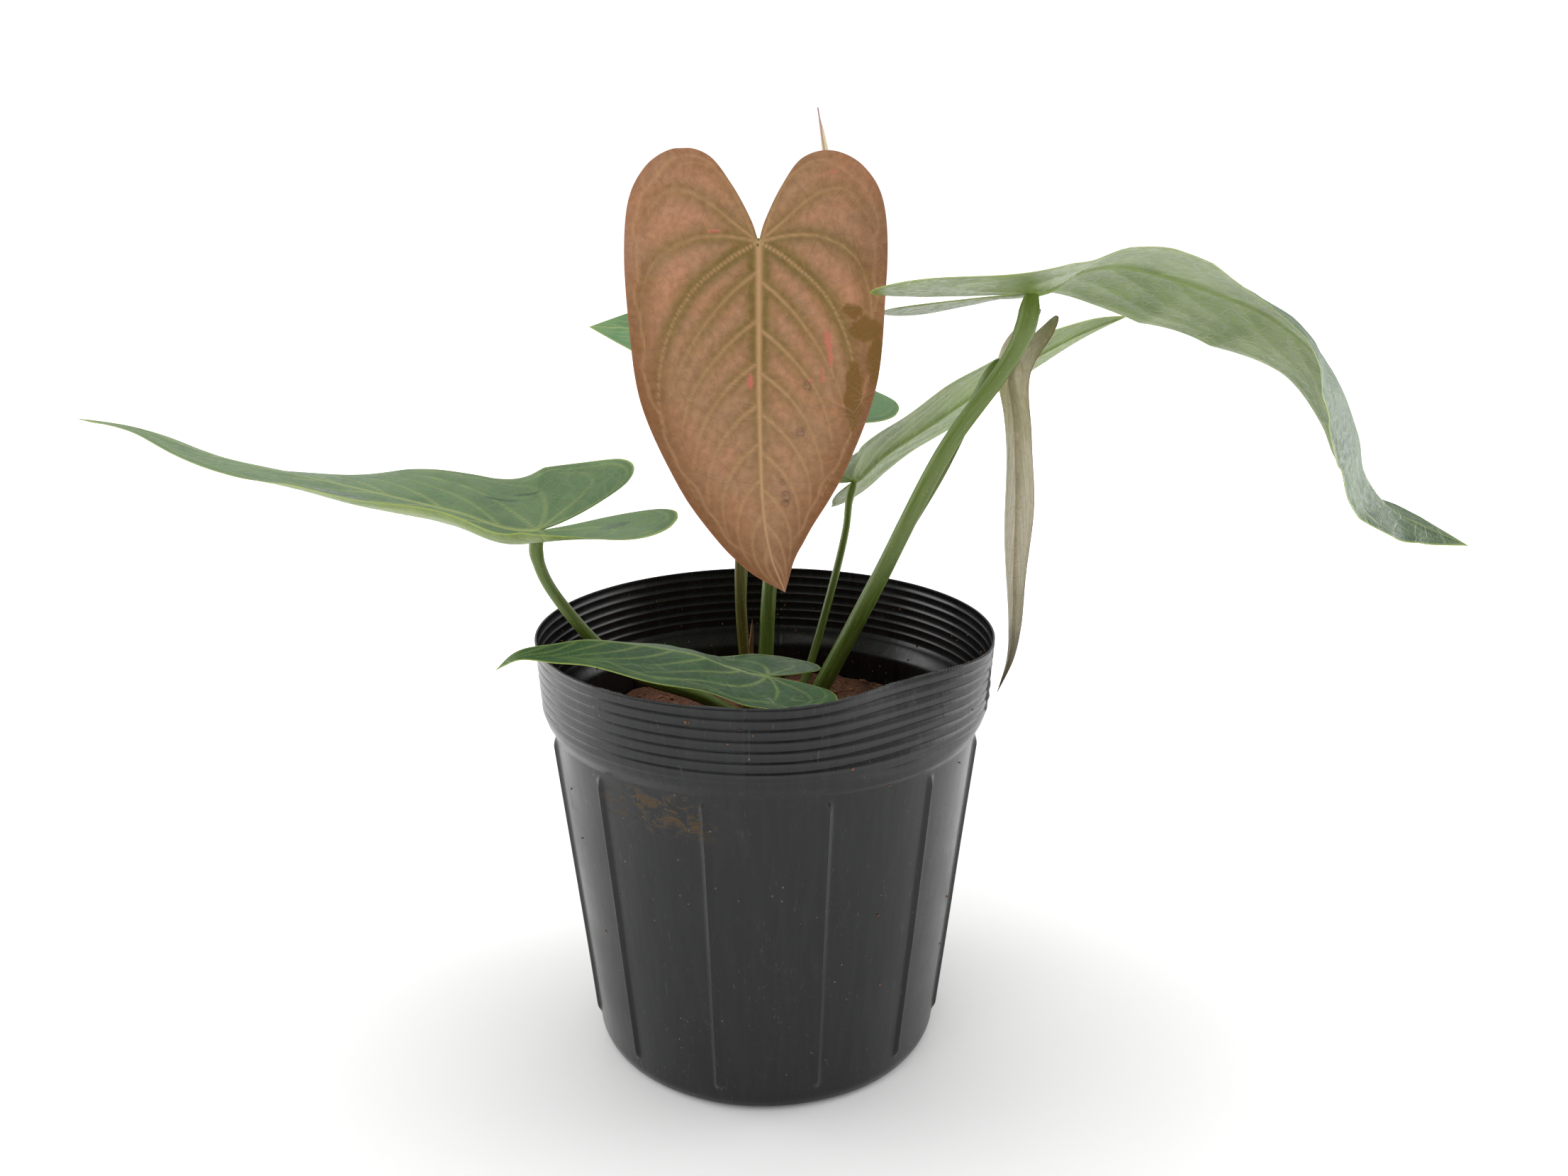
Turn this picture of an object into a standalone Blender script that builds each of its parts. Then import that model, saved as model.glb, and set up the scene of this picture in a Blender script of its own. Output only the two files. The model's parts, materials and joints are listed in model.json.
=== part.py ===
"""A young anthurium in a thin black nursery pot, with seven lobed leaves and one new inflorescence.

Metres, +Z up. The origin is the centre of the pot's flat base. The front of the plant faces -Y.
Lengths below are in millimetres and are scaled to metres when a mesh is made.
"""

import math

import bmesh
import bpy
import numpy as np
from mathutils import Matrix, Vector

MM = 0.001
GAP = 0.3

# Pot, a common 200 mm nursery size.
RIM_RADIUS = 100.0
POT_HEIGHT = 190.5
BASE_RADIUS = 78.7
BASE_CORNER = 4.7
WALL_TOP_RADIUS = 94.0
WALL_TOP = 151.0
BAND_BOTTOM = 159.5
BAND_BOTTOM_RADIUS = 98.0
WALL_THICKNESS = 1.1
RING_COUNT = 7
RING_DEPTH = 0.9
RIB_COUNT = 12
RIB_HEIGHT = 1.5
RIB_HALF_WIDTH = 1.3
RIB_BOTTOM = 12.0
RIB_TOP = 147.0
DENT_DEPTH = 12.0
DENT_AZIMUTH = math.radians(-53)
DENT_HALF_WIDTH = math.radians(36)
DRAIN_COUNT = 8
DRAIN_RADIUS = 4.5
DRAIN_CIRCLE = 60.0

# Growing mix and the short stem that every stalk leaves from.
MIX_EDGE = 137.0
MIX_CROWN = 141.0
MIX_INSET = 1.3
CROWN_CENTRE = (4.0, 12.0)
CROWN_RADIUS = 9.0
CROWN_BOTTOM = 130.0
CROWN_TOP = 152.0
CHIP_COUNT = 6

# Leaves.
BLADE_THICKNESS = 1.0
BLADE_CLEARANCE = 2.2
MARGIN_STEPS = 21
ACROSS_STEPS = 4
STALK_SIDES = 8
STALK_RINGS = 15

# Half of the heart-shaped outline: along (fraction of the lobe's length behind the junction, or of
# the midrib's length in front of it) and across (fraction of the half width).
HALF_OUTLINE = [
    (-0.03, 0.005), (-0.26, 0.06), (-0.62, 0.19), (-0.93, 0.36), (-1.0, 0.60), (-0.80, 0.84),
    (-0.35, 0.985), (0.14, 1.0), (0.42, 0.915), (0.66, 0.655), (0.83, 0.36), (0.94, 0.13), (1.0, 0.0),
]

# Each leaf: the midrib's points (the first is behind the junction, at the ends of the lobes, the
# second is the junction), the way its upper face looks, its half widths, how far back each lobe
# reaches, and the angle and curl of each half in degrees along the midrib. Side 0 is on the left of
# the midrib and side 1 on its right, seen from above with the tip towards the viewer.
LEAVES = {
    "copper": dict(
        spine=[(-3, -17, 390), (-2, -22, 355), (-2, -27, 331), (-2, -33, 296), (-1, -38, 257),
               (2, -42, 235), (8, -45, 219)],
        face=[(0, 0, -1, 0.15), (1, 0, -1, 0.25)],
        widths=(52, 50), lobes=(1.0, 0.93), bend=1.5,
        fold=([(0, 6), (1, 10)], [(0, 6), (1, 10)]),
        curl=([(-0.3, -10), (1, -25)], [(-0.3, -10), (1, -25)]),
    ),
    "left": dict(
        spine=[(-38, -8, 254), (-96, -10, 237), (-132, -12, 246), (-174, -14, 257),
               (-226, -16, 270), (-253, -17, 281), (-277, -20, 286)],
        face=[(0, 0, 0, 1), (1, 0, 0, 1)],
        widths=(45, 43), lobes=(0.74, 1.0), bend=3,
        fold=([(-0.3, 27), (0, 25), (0.15, 14), (0.35, 4), (0.6, -14), (1, -14)],
              [(-0.3, -16), (0, 0), (0.5, 0), (0.62, 6), (1, 4)]),
        curl=([(0, -6), (1, -6)], [(-0.3, 0), (0, 50), (0.5, 45), (0.62, -20), (0.8, 0)]),
    ),
    "right": dict(
        spine=[(38, -24, 331), (106, -20, 336), (124, -18, 344), (145, -15, 346), (178, -12, 337),
               (209, -10, 324), (235, -8, 303), (249, -8, 277), (254, -8, 260), (265, -9, 246),
               (279, -10, 238), (301, -12, 229)],
        face=[(-0.4, 0, 0.1, 1), (0, 0, 0.1, 1), (0.3, 0, 0.2, 1), (0.45, 0.1, 0.2, 1),
              (0.6, 0.5, 0.1, 1), (0.75, 1, 0, 0.5), (0.85, 1, -0.2, 0.3), (0.92, 0.5, -0.6, 1),
              (1, 0.4, -0.6, 1)],
        widths=(60, 56), lobes=(1.0, 0.82), bend=1.5,
        fold=([(-0.3, 5), (0, 6), (0.15, -2), (0.4, -8), (0.55, -20), (0.7, -32), (0.8, -32),
               (0.9, -6)],
              [(-0.3, -6), (0, -2), (0.15, -6), (0.3, -10), (0.45, -6), (0.6, -2), (0.8, 0),
               (0.9, -8)]),
        curl=([(0, 0), (0.2, -6), (0.35, -30), (0.5, -60), (0.7, -40), (0.85, -20), (1, 0)],
              [(0, 0), (1, 0)]),
    ),
    "rear": dict(
        spine=[(68, 44, 290), (30, 61, 295), (4, 67, 304), (-26, 74, 310), (-57, 81, 313),
               (-84, 87, 314)],
        face=[(0, 0, -0.5, 1), (1, 0, -0.5, 1)],
        widths=(38, 40), lobes=(0.35, 1.0), bend=2,
        fold=([(0, 6), (1, 10)], [(0, 0), (1, 0)]),
        curl=([(0, 0), (1, 0)], [(0, 0), (1, 0)]),
    ),
    "right_rear": dict(
        spine=[(24, 50, 240), (42, 57, 245), (57, 62, 257), (82, 68, 272), (109, 74, 289),
               (137, 80, 304), (157, 84, 313), (176, 88, 319)],
        face=[(-0.3, -0.5, 0.3, 0.77), (0, -0.55, 0.42, 0.72), (1, -0.5, 0.46, 0.72)],
        widths=(34, 34), lobes=(1.0, 0.3), bend=2,
        fold=([(0, 4), (1, 4)], [(0, 4), (1, 4)]),
        curl=([(0, -8), (1, -8)], [(0, -8), (1, -8)]),
    ),
    "hanging": dict(
        spine=[(119, 6, 326), (106, 6, 305), (109, 7, 278), (111, 8, 247), (111, 6, 215),
               (111, 3, 190), (109, -1, 175), (103, -6, 161)],
        face=[(0, 1, 0.1, 0), (1, 1, 0.1, 0)],
        widths=(22, 22), lobes=(1.0, 1.0), bend=2,
        fold=([(0, 0), (1, 0)], [(0, 0), (1, 0)]),
        curl=([(0, 0), (1, 0)], [(0, 0), (1, 0)]),
    ),
    "front": dict(
        spine=[(26, -38, 180), (1, -43, 183), (-13, -48, 188), (-31, -52, 196), (-66, -57, 203),
               (-84, -59, 202), (-97, -61, 200), (-106, -63, 193)],
        face=[(0, 0, -0.1, 1), (1, 0, -0.1, 1)],
        widths=(27, 30), lobes=(1.0, 1.0), bend=2,
        fold=([(0, -6), (0.3, -20), (1, -26)], [(0, -4), (1, -8)]),
        curl=([(0, 0), (1, 0)], [(0, 0), (1, 0)]),
    ),
}

# Each petiole: where it leaves the crown (degrees round it), its radius, and its points between the
# crown and the leaf's junction.
PETIOLES = {
    "copper": (165, 2.6, [(-11, 11, 200), (-9, 5, 260), (-5, -3, 325), (-3, -9, 350)]),
    "left": (205, 2.9, [(-30, 2, 157), (-55, -5, 169), (-74, -8, 186), (-91, -9, 209), (-97, -10, 225)]),
    "right": (-20, 4.0, [(25, 0, 162), (48, -8, 212), (74, -13, 269), (96, -17, 303), (104, -20, 320)]),
    "rear": (112, 3.6, [(0, 27, 165), (3, 33, 210), (10, 44, 250), (24, 62, 283)]),
    "right_rear": (52, 2.0, [(20, 27, 160), (32, 38, 200), (38, 48, 222), (40, 54, 236)]),
    "hanging": (18, 2.7, [(27, 12, 158), (48, 10, 206), (76, 10, 256), (90, 8, 288), (98, 6, 303)]),
    "front": (270, 2.4, [(3, -14, 158), (2, -34, 170)]),
}
PEDUNCLE = (
    139,
    1.6,
    [(-8, 21, 165), (-10, 20, 200), (-4, 14, 255), (8, 4, 295), (17, 0, 320), (21, 3, 338)],
)

SPATHE_BASE = (21.5, 5.0, 345.0)
SPATHE_TIP = (20.0, 6.0, 406.5)
SPATHE_HALF_WIDTH = 11.0
SPADIX_HEIGHT = 39.0
SPADIX_RADIUS = 1.7


def clear_scene():
    for obj in list(bpy.data.objects):
        bpy.data.objects.remove(obj, do_unlink=True)


def material(name, colour, roughness, metallic=0.0):
    made = bpy.data.materials.new(name)
    made.use_nodes = True
    shader = made.node_tree.nodes["Principled BSDF"]
    shader.inputs["Base Color"].default_value = (*colour, 1.0)
    shader.inputs["Roughness"].default_value = roughness
    shader.inputs["Metallic"].default_value = metallic
    return made


def add_object(name, points, faces, finish):
    """A mesh object from points in millimetres, with its faces turned outwards."""
    mesh = bpy.data.meshes.new(name)
    mesh.from_pydata([tuple(MM * float(value) for value in point) for point in points], [], faces)
    bm = bmesh.new()
    bm.from_mesh(mesh)
    bmesh.ops.remove_doubles(bm, verts=bm.verts, dist=0.02 * MM)
    bmesh.ops.dissolve_degenerate(bm, edges=bm.edges, dist=0.02 * MM)
    bmesh.ops.triangulate(bm, faces=bm.faces)
    bmesh.ops.recalc_face_normals(bm, faces=bm.faces)
    bm.to_mesh(mesh)
    bm.free()
    mesh.materials.append(finish)
    mesh.shade_smooth()
    mesh.set_sharp_from_angle(angle=math.radians(40))
    obj = bpy.data.objects.new(name, mesh)
    bpy.context.scene.collection.objects.link(obj)
    return obj


def grid_faces(rows, columns, closed):
    """Quads between the rows of a grid of points. A closed grid joins its last column to its first."""
    faces = []
    for row in range(rows - 1):
        for column in range(columns if closed else columns - 1):
            after = (column + 1) % columns
            low = row * columns
            high = low + columns
            faces.append((low + column, low + after, high + after, high + column))
    return faces


def curve_through(points, count):
    """Evenly spaced points of a smooth curve that passes through the given ones."""
    ends = np.array(points, float)
    ends = np.vstack([2 * ends[0] - ends[1], ends, 2 * ends[-1] - ends[-2]])
    pieces = []
    for index in range(1, len(ends) - 2):
        before, start, stop, after = ends[index - 1 : index + 3]
        t = np.linspace(0, 1, 24, endpoint=False)[:, None]
        pieces.append(
            0.5 * (2 * start + (stop - before) * t + (2 * before - 5 * start + 4 * stop - after) * t**2
                   + (3 * start - before - 3 * stop + after) * t**3)
        )
    pieces.append(ends[-2][None])
    dense = np.vstack(pieces)
    steps = np.linalg.norm(np.diff(dense, axis=0), axis=1)
    length = np.concatenate([[0], np.cumsum(steps)])
    wanted = np.linspace(0, length[-1], count)
    return np.stack([np.interp(wanted, length, dense[:, axis]) for axis in range(ends.shape[1])], axis=1)


def unit(vectors):
    return vectors / np.linalg.norm(vectors, axis=-1, keepdims=True)


def lookup(keys, where):
    """Values at the given places, read between keys of (place, value, ...)."""
    table = np.array(keys, float)
    columns = [np.interp(where, table[:, 0], table[:, column]) for column in range(1, table.shape[1])]
    return np.stack(columns, axis=-1)


class Blade:
    """A leaf blade: flat coordinates along and across it, and their place in space."""

    def __init__(self, shape):
        self.shape = shape
        self.line = curve_through(shape["spine"], 400)
        run = np.concatenate([[0], np.cumsum(np.linalg.norm(np.diff(self.line, axis=0), axis=1))])
        junction = np.argmin(np.linalg.norm(self.line - np.array(shape["spine"][1], float), axis=1))
        self.along = run - run[junction]
        self.length = self.along[-1]
        self.lobe = -self.along[0]
        tangent = unit(np.gradient(self.line, self.along, axis=0))
        face = lookup(shape["face"], self.along / self.length)
        self.normal = unit(face - np.sum(face * tangent, axis=1, keepdims=True) * tangent)
        self.side = np.cross(self.normal, tangent)
        self.junction = self.line[junction]
        self.junction_normal = self.normal[junction]

    def outline(self, side, count):
        """Points of one half's edge, from the junction round the lobe to the tip."""
        reach = self.lobe * self.shape["lobes"][side]
        width = self.shape["widths"][side]
        edge = [(a * (reach if a < 0 else self.length), b * width) for a, b in HALF_OUTLINE]
        return curve_through(edge, count)

    def place(self, along, across, side):
        """Points in space for flat coordinates on one half of the blade."""
        frame = []
        for table in (self.line, self.side, self.normal):
            columns = [np.interp(along, self.along, table[:, axis]) for axis in range(3)]
            frame.append(np.stack(columns, axis=-1))
        point, sideways, upwards = frame[0], unit(frame[1]), unit(frame[2])
        fraction = along / self.length
        fold = np.radians(lookup(self.shape["fold"][side], fraction))
        curl = np.radians(lookup(self.shape["curl"][side], fraction))
        reach = (across / self.shape["widths"][side])[..., None]
        middle = (np.arange(24) + 0.5) / 24
        angle = fold + curl * (reach * middle) ** self.shape["bend"]
        outwards = across * np.cos(angle).mean(axis=-1)
        lift = across * np.sin(angle).mean(axis=-1)
        sign = 1 if side else -1
        return point + sign * outwards[..., None] * sideways + lift[..., None] * upwards

    def half(self, side):
        """A grid of points over one half, row by row from the junction to the tip."""
        rim = self.outline(side, MARGIN_STEPS)
        foot = self.length * np.linspace(0, 1, MARGIN_STEPS) ** 2.2
        part = np.linspace(0, 1, ACROSS_STEPS)
        along = foot[:, None] * (1 - part) + rim[:, :1] * part
        across = rim[:, 1:] * part
        return self.place(along, across, side)


def make_blade(name, shape, finish):
    blade = Blade(shape)
    points = []
    faces = []
    for side in (0, 1):
        grid = blade.half(side)
        start = len(points)
        points.extend(grid.reshape(-1, 3))
        for face in grid_faces(MARGIN_STEPS, ACROSS_STEPS, False):
            corners = [start + corner for corner in face]
            faces.append(corners if side else corners[::-1])
    obj = add_object("leaf_" + name, points, faces, finish)
    solidify = obj.modifiers.new("thickness", "SOLIDIFY")
    solidify.thickness = BLADE_THICKNESS * MM
    solidify.offset = 0.0
    solidify.use_even_offset = False
    return blade


def tube(name, points, radii, finish, sides=STALK_SIDES, rings=STALK_RINGS):
    """A closed stalk along a smooth curve, whose radius is read between (place, radius) keys."""
    line = curve_through(points, rings)
    tangent = unit(np.gradient(line, axis=0))
    sideways = np.cross(tangent[0], (0.0, 1.0, 0.1))
    vertices = []
    for index in range(rings):
        sideways = unit(sideways - np.dot(sideways, tangent[index]) * tangent[index])
        upwards = np.cross(tangent[index], sideways)
        radius = float(lookup(radii, index / (rings - 1))[0])
        for step in range(sides):
            turn = 2 * math.pi * step / sides
            vertices.append(line[index] + radius * (math.cos(turn) * sideways + math.sin(turn) * upwards))
    faces = grid_faces(rings, sides, True)
    faces.append(tuple(range(sides)))
    faces.append(tuple(range((rings - 1) * sides, rings * sides)))
    return add_object(name, vertices, faces, finish)


def crown_side(azimuth, radius):
    """The foot of a stalk that stands against the crown, just above the mix."""
    turn = math.radians(azimuth)
    reach = CROWN_RADIUS + 1.25 * radius + 2 * GAP
    return (
        CROWN_CENTRE[0] + reach * math.cos(turn),
        CROWN_CENTRE[1] + reach * math.sin(turn),
        MIX_CROWN + 3.0,
    )


def make_petiole(name, blade, finish):
    azimuth, radius, points = PETIOLES[name]
    end = blade.junction - BLADE_CLEARANCE * blade.junction_normal
    shares = [(0, 1.2), (0.08, 1.0), (0.86, 0.86), (0.93, 1.1), (1, 0.9)]
    radii = [(place, share * radius) for place, share in shares]
    tube("petiole_" + name, [crown_side(azimuth, radius), *points, tuple(end)], radii, finish)


def wall_radius(height):
    """The pot's outer radius between its ribs and rings."""
    heights = [0.0, 1.4, BASE_CORNER, WALL_TOP, 156.0, BAND_BOTTOM, POT_HEIGHT]
    radii = [
        BASE_RADIUS - BASE_CORNER, BASE_RADIUS - 1.4, BASE_RADIUS, WALL_TOP_RADIUS, 96.8,
        BAND_BOTTOM_RADIUS, RIM_RADIUS,
    ]
    return float(np.interp(height, heights, radii))


def dent(height, azimuth):
    """How far the rim is pushed in on its front right side."""
    away = abs((azimuth - DENT_AZIMUTH + math.pi) % (2 * math.pi) - math.pi) / DENT_HALF_WIDTH
    if away >= 1:
        return 0.0
    share = float(np.interp(height, [153.0, BAND_BOTTOM, POT_HEIGHT], [0.0, 0.3, 1.0]))
    return DENT_DEPTH * share * math.cos(0.5 * math.pi * away) ** 2


def pot_stations():
    """(azimuth, is on the crest of a rib) round the pot."""
    pitch = 2 * math.pi / RIB_COUNT
    foot = RIB_HALF_WIDTH / WALL_TOP_RADIUS
    stations = []
    for index in range(RIB_COUNT):
        middle = (index + 0.5) * pitch
        stations += [(middle - foot, False), (middle, True), (middle + foot, False)]
        stations.append((middle + pitch / 2, False))
    return stations


def pot_rows():
    """(height, radius, is ribbed) of the pot's skin, from the outer base over the rim to the floor."""
    rows = [(0.0, DRAIN_CIRCLE - 15, False)]
    rows += [(height, wall_radius(height), False) for height in (0.0, 1.4, BASE_CORNER, RIB_BOTTOM - 3)]
    rows += [(height, wall_radius(height), True) for height in (RIB_BOTTOM, RIB_TOP)]
    rows += [(height, wall_radius(height), False) for height in (WALL_TOP, 156.0, BAND_BOTTOM)]
    pitch = (POT_HEIGHT - BAND_BOTTOM) / RING_COUNT
    for ring in range(RING_COUNT):
        low = BAND_BOTTOM + ring * pitch
        crest = low + 0.65 * pitch
        rows.append((crest, wall_radius(crest) + RING_DEPTH - 0.5, False))
        if ring < RING_COUNT - 1:
            rows.append((low + pitch, wall_radius(low + pitch) - 0.5, False))
    rows.append((POT_HEIGHT, RIM_RADIUS, False))
    rows.append((POT_HEIGHT, RIM_RADIUS - WALL_THICKNESS, False))
    rows += [(height, inner_radius(height), False) for height in (BAND_BOTTOM, 156.0, WALL_TOP)]
    rows += [(height, inner_radius(height), True) for height in (RIB_TOP, RIB_BOTTOM)]
    rows += [(height, inner_radius(height), False) for height in (RIB_BOTTOM - 3, BASE_CORNER)]
    rows.append((WALL_THICKNESS, BASE_RADIUS - BASE_CORNER - 0.5, False))
    rows.append((WALL_THICKNESS, DRAIN_CIRCLE - 15, False))
    return rows


def inner_radius(height):
    return wall_radius(height) - WALL_THICKNESS - (0.6 if height >= BAND_BOTTOM else 0.0)


def make_drain_cutter():
    bm = bmesh.new()
    for index in range(DRAIN_COUNT):
        turn = 2 * math.pi * (index + 0.5) / DRAIN_COUNT
        place = Vector((DRAIN_CIRCLE * math.cos(turn), DRAIN_CIRCLE * math.sin(turn), 0)) * MM
        bmesh.ops.create_cone(
            bm, cap_ends=True, segments=12, radius1=DRAIN_RADIUS * MM, radius2=DRAIN_RADIUS * MM,
            depth=8 * MM, matrix=Matrix.Translation(place),
        )
    mesh = bpy.data.meshes.new("drain_cutter")
    bm.to_mesh(mesh)
    bm.free()
    cutter = bpy.data.objects.new("drain_cutter", mesh)
    cutter.hide_render = True
    cutter.display_type = "WIRE"
    bpy.context.scene.collection.objects.link(cutter)
    return cutter


def make_pot(finish):
    stations = pot_stations()
    points = []
    for height, radius, ribbed in pot_rows():
        for azimuth, crest in stations:
            reach = radius - dent(height, azimuth) + (RIB_HEIGHT if ribbed and crest else 0.0)
            points.append((reach * math.cos(azimuth), reach * math.sin(azimuth), height))
    rows = len(points) // len(stations)
    faces = grid_faces(rows, len(stations), True)
    faces.append(tuple(range(len(stations))))
    faces.append(tuple(range((rows - 1) * len(stations), rows * len(stations))))
    pot = add_object("nursery_pot", points, faces, finish)
    drains = pot.modifiers.new("drain_holes", "BOOLEAN")
    drains.operation = "DIFFERENCE"
    drains.object = make_drain_cutter()


def mix_height(x, y):
    """The uneven top of the growing mix."""
    spread = min(math.hypot(x, y) / WALL_TOP_RADIUS, 1.0)
    lumps = 0.9 * math.sin(0.11 * x + 0.6) * math.cos(0.13 * y) + 0.6 * math.sin(0.23 * y - 0.17 * x)
    return MIX_EDGE + (MIX_CROWN - MIX_EDGE) * (1 - spread**2) + lumps * min(1.0, 4 * (1 - spread) + 0.3)


def make_mix(finish):
    count = 36
    rows = []
    for height in (WALL_THICKNESS + GAP, BASE_CORNER + 2, RIB_BOTTOM, MIX_EDGE - 4):
        inset = MIX_INSET + (4.0 if height < BASE_CORNER else 0.0)
        rows.append([(inner_radius(height) - inset, height)] * count)
    pit = CROWN_RADIUS + 0.8
    points = []
    for row in rows:
        for index, (radius, height) in enumerate(row):
            turn = 2 * math.pi * index / count
            points.append((radius * math.cos(turn), radius * math.sin(turn), height))
    edge = inner_radius(MIX_EDGE) - MIX_INSET
    for part in (1.0, 0.86, 0.66, 0.42, 0.2, 0.0):
        for index in range(count):
            turn = 2 * math.pi * index / count
            outer = (edge * math.cos(turn), edge * math.sin(turn))
            inner = (CROWN_CENTRE[0] + pit * math.cos(turn), CROWN_CENTRE[1] + pit * math.sin(turn))
            x = part * outer[0] + (1 - part) * inner[0]
            y = part * outer[1] + (1 - part) * inner[1]
            points.append((x, y, mix_height(x, y)))
    for index in range(count):
        turn = 2 * math.pi * index / count
        points.append((CROWN_CENTRE[0] + pit * math.cos(turn), CROWN_CENTRE[1] + pit * math.sin(turn),
                       CROWN_BOTTOM - 1.0))
    total = len(points) // count
    faces = grid_faces(total, count, True)
    faces.append(tuple(range(count)))
    faces.append(tuple(range((total - 1) * count, total * count)))
    add_object("growing_mix", points, faces, finish)


def make_crown(finish):
    """A short upright stem with a domed top."""
    count = 14
    points = []
    profile = [(0.72, CROWN_BOTTOM), (0.96, CROWN_BOTTOM + 3)]
    profile += [(0.96, 146), (0.82, 149.5), (0.45, CROWN_TOP)]
    for share, height in profile:
        for index in range(count):
            turn = 2 * math.pi * index / count
            radius = share * CROWN_RADIUS
            x = CROWN_CENTRE[0] + radius * math.cos(turn)
            y = CROWN_CENTRE[1] + radius * math.sin(turn)
            points.append((x, y, height))
    faces = grid_faces(len(profile), count, True)
    faces.append(tuple(range(count)))
    faces.append(tuple(range((len(profile) - 1) * count, len(profile) * count)))
    add_object("crown", points, faces, finish)


def make_cataphyll(finish):
    """The dried scale leaf that once wrapped a new leaf, standing between two petioles."""
    rings = 8
    points = []
    for index in range(rings):
        share = index / (rings - 1)
        half = 2.6 * (1 - share**2) + 0.4
        x = -8.0 + 1.5 * share
        y = 28.0 + 1.0 * share
        height = MIX_CROWN + 3 + 40 * share
        for across, depth in ((-half, 0.0), (0.0, -1.0), (half, 0.0), (0.0, 0.4)):
            points.append((x + 0.8 * across, y + 0.6 * across + depth, height))
    faces = grid_faces(rings, 4, True)
    faces.append((0, 1, 2, 3))
    faces.append(tuple(range(4 * rings - 4, 4 * rings)))
    add_object("cataphyll", points, faces, finish)


def make_spathe(finish):
    """A narrow pointed hood, open towards the front left, behind the spadix."""
    rows = 12
    columns = 7
    base = np.array(SPATHE_BASE)
    tip = np.array(SPATHE_TIP)
    grid = np.zeros((rows, columns, 3))
    for row in range(rows):
        share = row / (rows - 1)
        middle = base + (tip - base) * share + np.array((3.0 * math.sin(math.pi * share), 0, 0))
        swell = math.sin(math.pi * min(share + 0.06, 1.0)) ** 0.8
        width = SPATHE_HALF_WIDTH * swell * (1 - 0.35 * share) + 0.5
        for column in range(columns):
            across = 2 * column / (columns - 1) - 1
            hollow = 0.30 * width * (1 - across**2)
            grid[row, column] = middle + np.array((hollow + 1.6, width * across, 0.0))
    obj = add_object("spathe", grid.reshape(-1, 3), grid_faces(rows, columns, False), finish)
    solidify = obj.modifiers.new("thickness", "SOLIDIFY")
    solidify.thickness = 0.8 * MM
    solidify.offset = 0.0


def make_chips(finish):
    """Coconut husk chips lying on the mix."""
    generator = np.random.default_rng(5)
    for index in range(CHIP_COUNT):
        turn = math.radians(20 + 137.5 * index)
        reach = 40 + 5.5 * index
        x, y = reach * math.cos(turn), reach * math.sin(turn)
        size = generator.uniform(3.2, 5.2, 3) * (1.3, 1.0, 0.55)
        bm = bmesh.new()
        bmesh.ops.create_icosphere(bm, subdivisions=1, radius=1.0)
        points = [np.array(vertex.co) * size * generator.uniform(0.82, 1.0) for vertex in bm.verts]
        faces = [tuple(vertex.index for vertex in face.verts) for face in bm.faces]
        bm.free()
        spin = generator.uniform(0, math.pi)
        top = max(mix_height(x + a, y + b) for a in (-6, 0, 6) for b in (-6, 0, 6))
        placed = []
        for point in points:
            turned = (point[0] * math.cos(spin) - point[1] * math.sin(spin),
                      point[0] * math.sin(spin) + point[1] * math.cos(spin))
            placed.append((x + turned[0], y + turned[1], top + 0.5 + size[2] + point[2]))
        add_object(f"husk_chip_{index + 1}", placed, faces, finish)


def main():
    clear_scene()
    green = material("leaf_green", (0.055, 0.13, 0.045), 0.38)
    copper = material("leaf_copper", (0.44, 0.23, 0.12), 0.42)
    stalk = material("petiole_green", (0.16, 0.22, 0.04), 0.42)
    pot_plastic = material("black_pot_plastic", (0.012, 0.012, 0.013), 0.36)
    soil = material("coir_mix", (0.13, 0.055, 0.03), 0.95)
    husk = material("coir_chip", (0.25, 0.10, 0.05), 0.9)
    bark = material("crown_skin", (0.16, 0.15, 0.06), 0.7)
    papery = material("dry_sheath", (0.33, 0.18, 0.12), 0.75)
    cream = material("spathe_cream", (0.55, 0.5, 0.28), 0.45)
    yellow = material("spadix_yellow", (0.65, 0.6, 0.08), 0.5)
    make_pot(pot_plastic)
    make_mix(soil)
    make_crown(bark)
    make_chips(husk)
    for name, shape in LEAVES.items():
        blade = make_blade(name, shape, copper if name == "copper" else green)
        make_petiole(name, blade, stalk)
    azimuth, radius, points = PEDUNCLE
    top = (SPATHE_BASE[0] - 0.3, SPATHE_BASE[1], SPATHE_BASE[2] - 1.5)
    radii = [(0, radius * 1.2), (0.1, radius), (1, radius)]
    tube("peduncle", [crown_side(azimuth, radius), *points, top], radii, stalk)
    spadix_foot = (SPATHE_BASE[0] - 0.8, SPATHE_BASE[1], SPATHE_BASE[2] + 0.5)
    spadix_tip = (SPATHE_BASE[0] - 0.8, SPATHE_BASE[1], SPATHE_BASE[2] + SPADIX_HEIGHT)
    middle = tuple((a + b) / 2 for a, b in zip(spadix_foot, spadix_tip))
    tube("spadix", [spadix_foot, middle, spadix_tip],
         [(0, SPADIX_RADIUS), (0.8, 0.85 * SPADIX_RADIUS), (1, 0.4 * SPADIX_RADIUS)], yellow, rings=7)
    make_spathe(cream)
    make_cataphyll(papery)


main()
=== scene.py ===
import json
import math
import random

import bmesh
import bpy
import numpy as np
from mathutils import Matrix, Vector, noise

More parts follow.
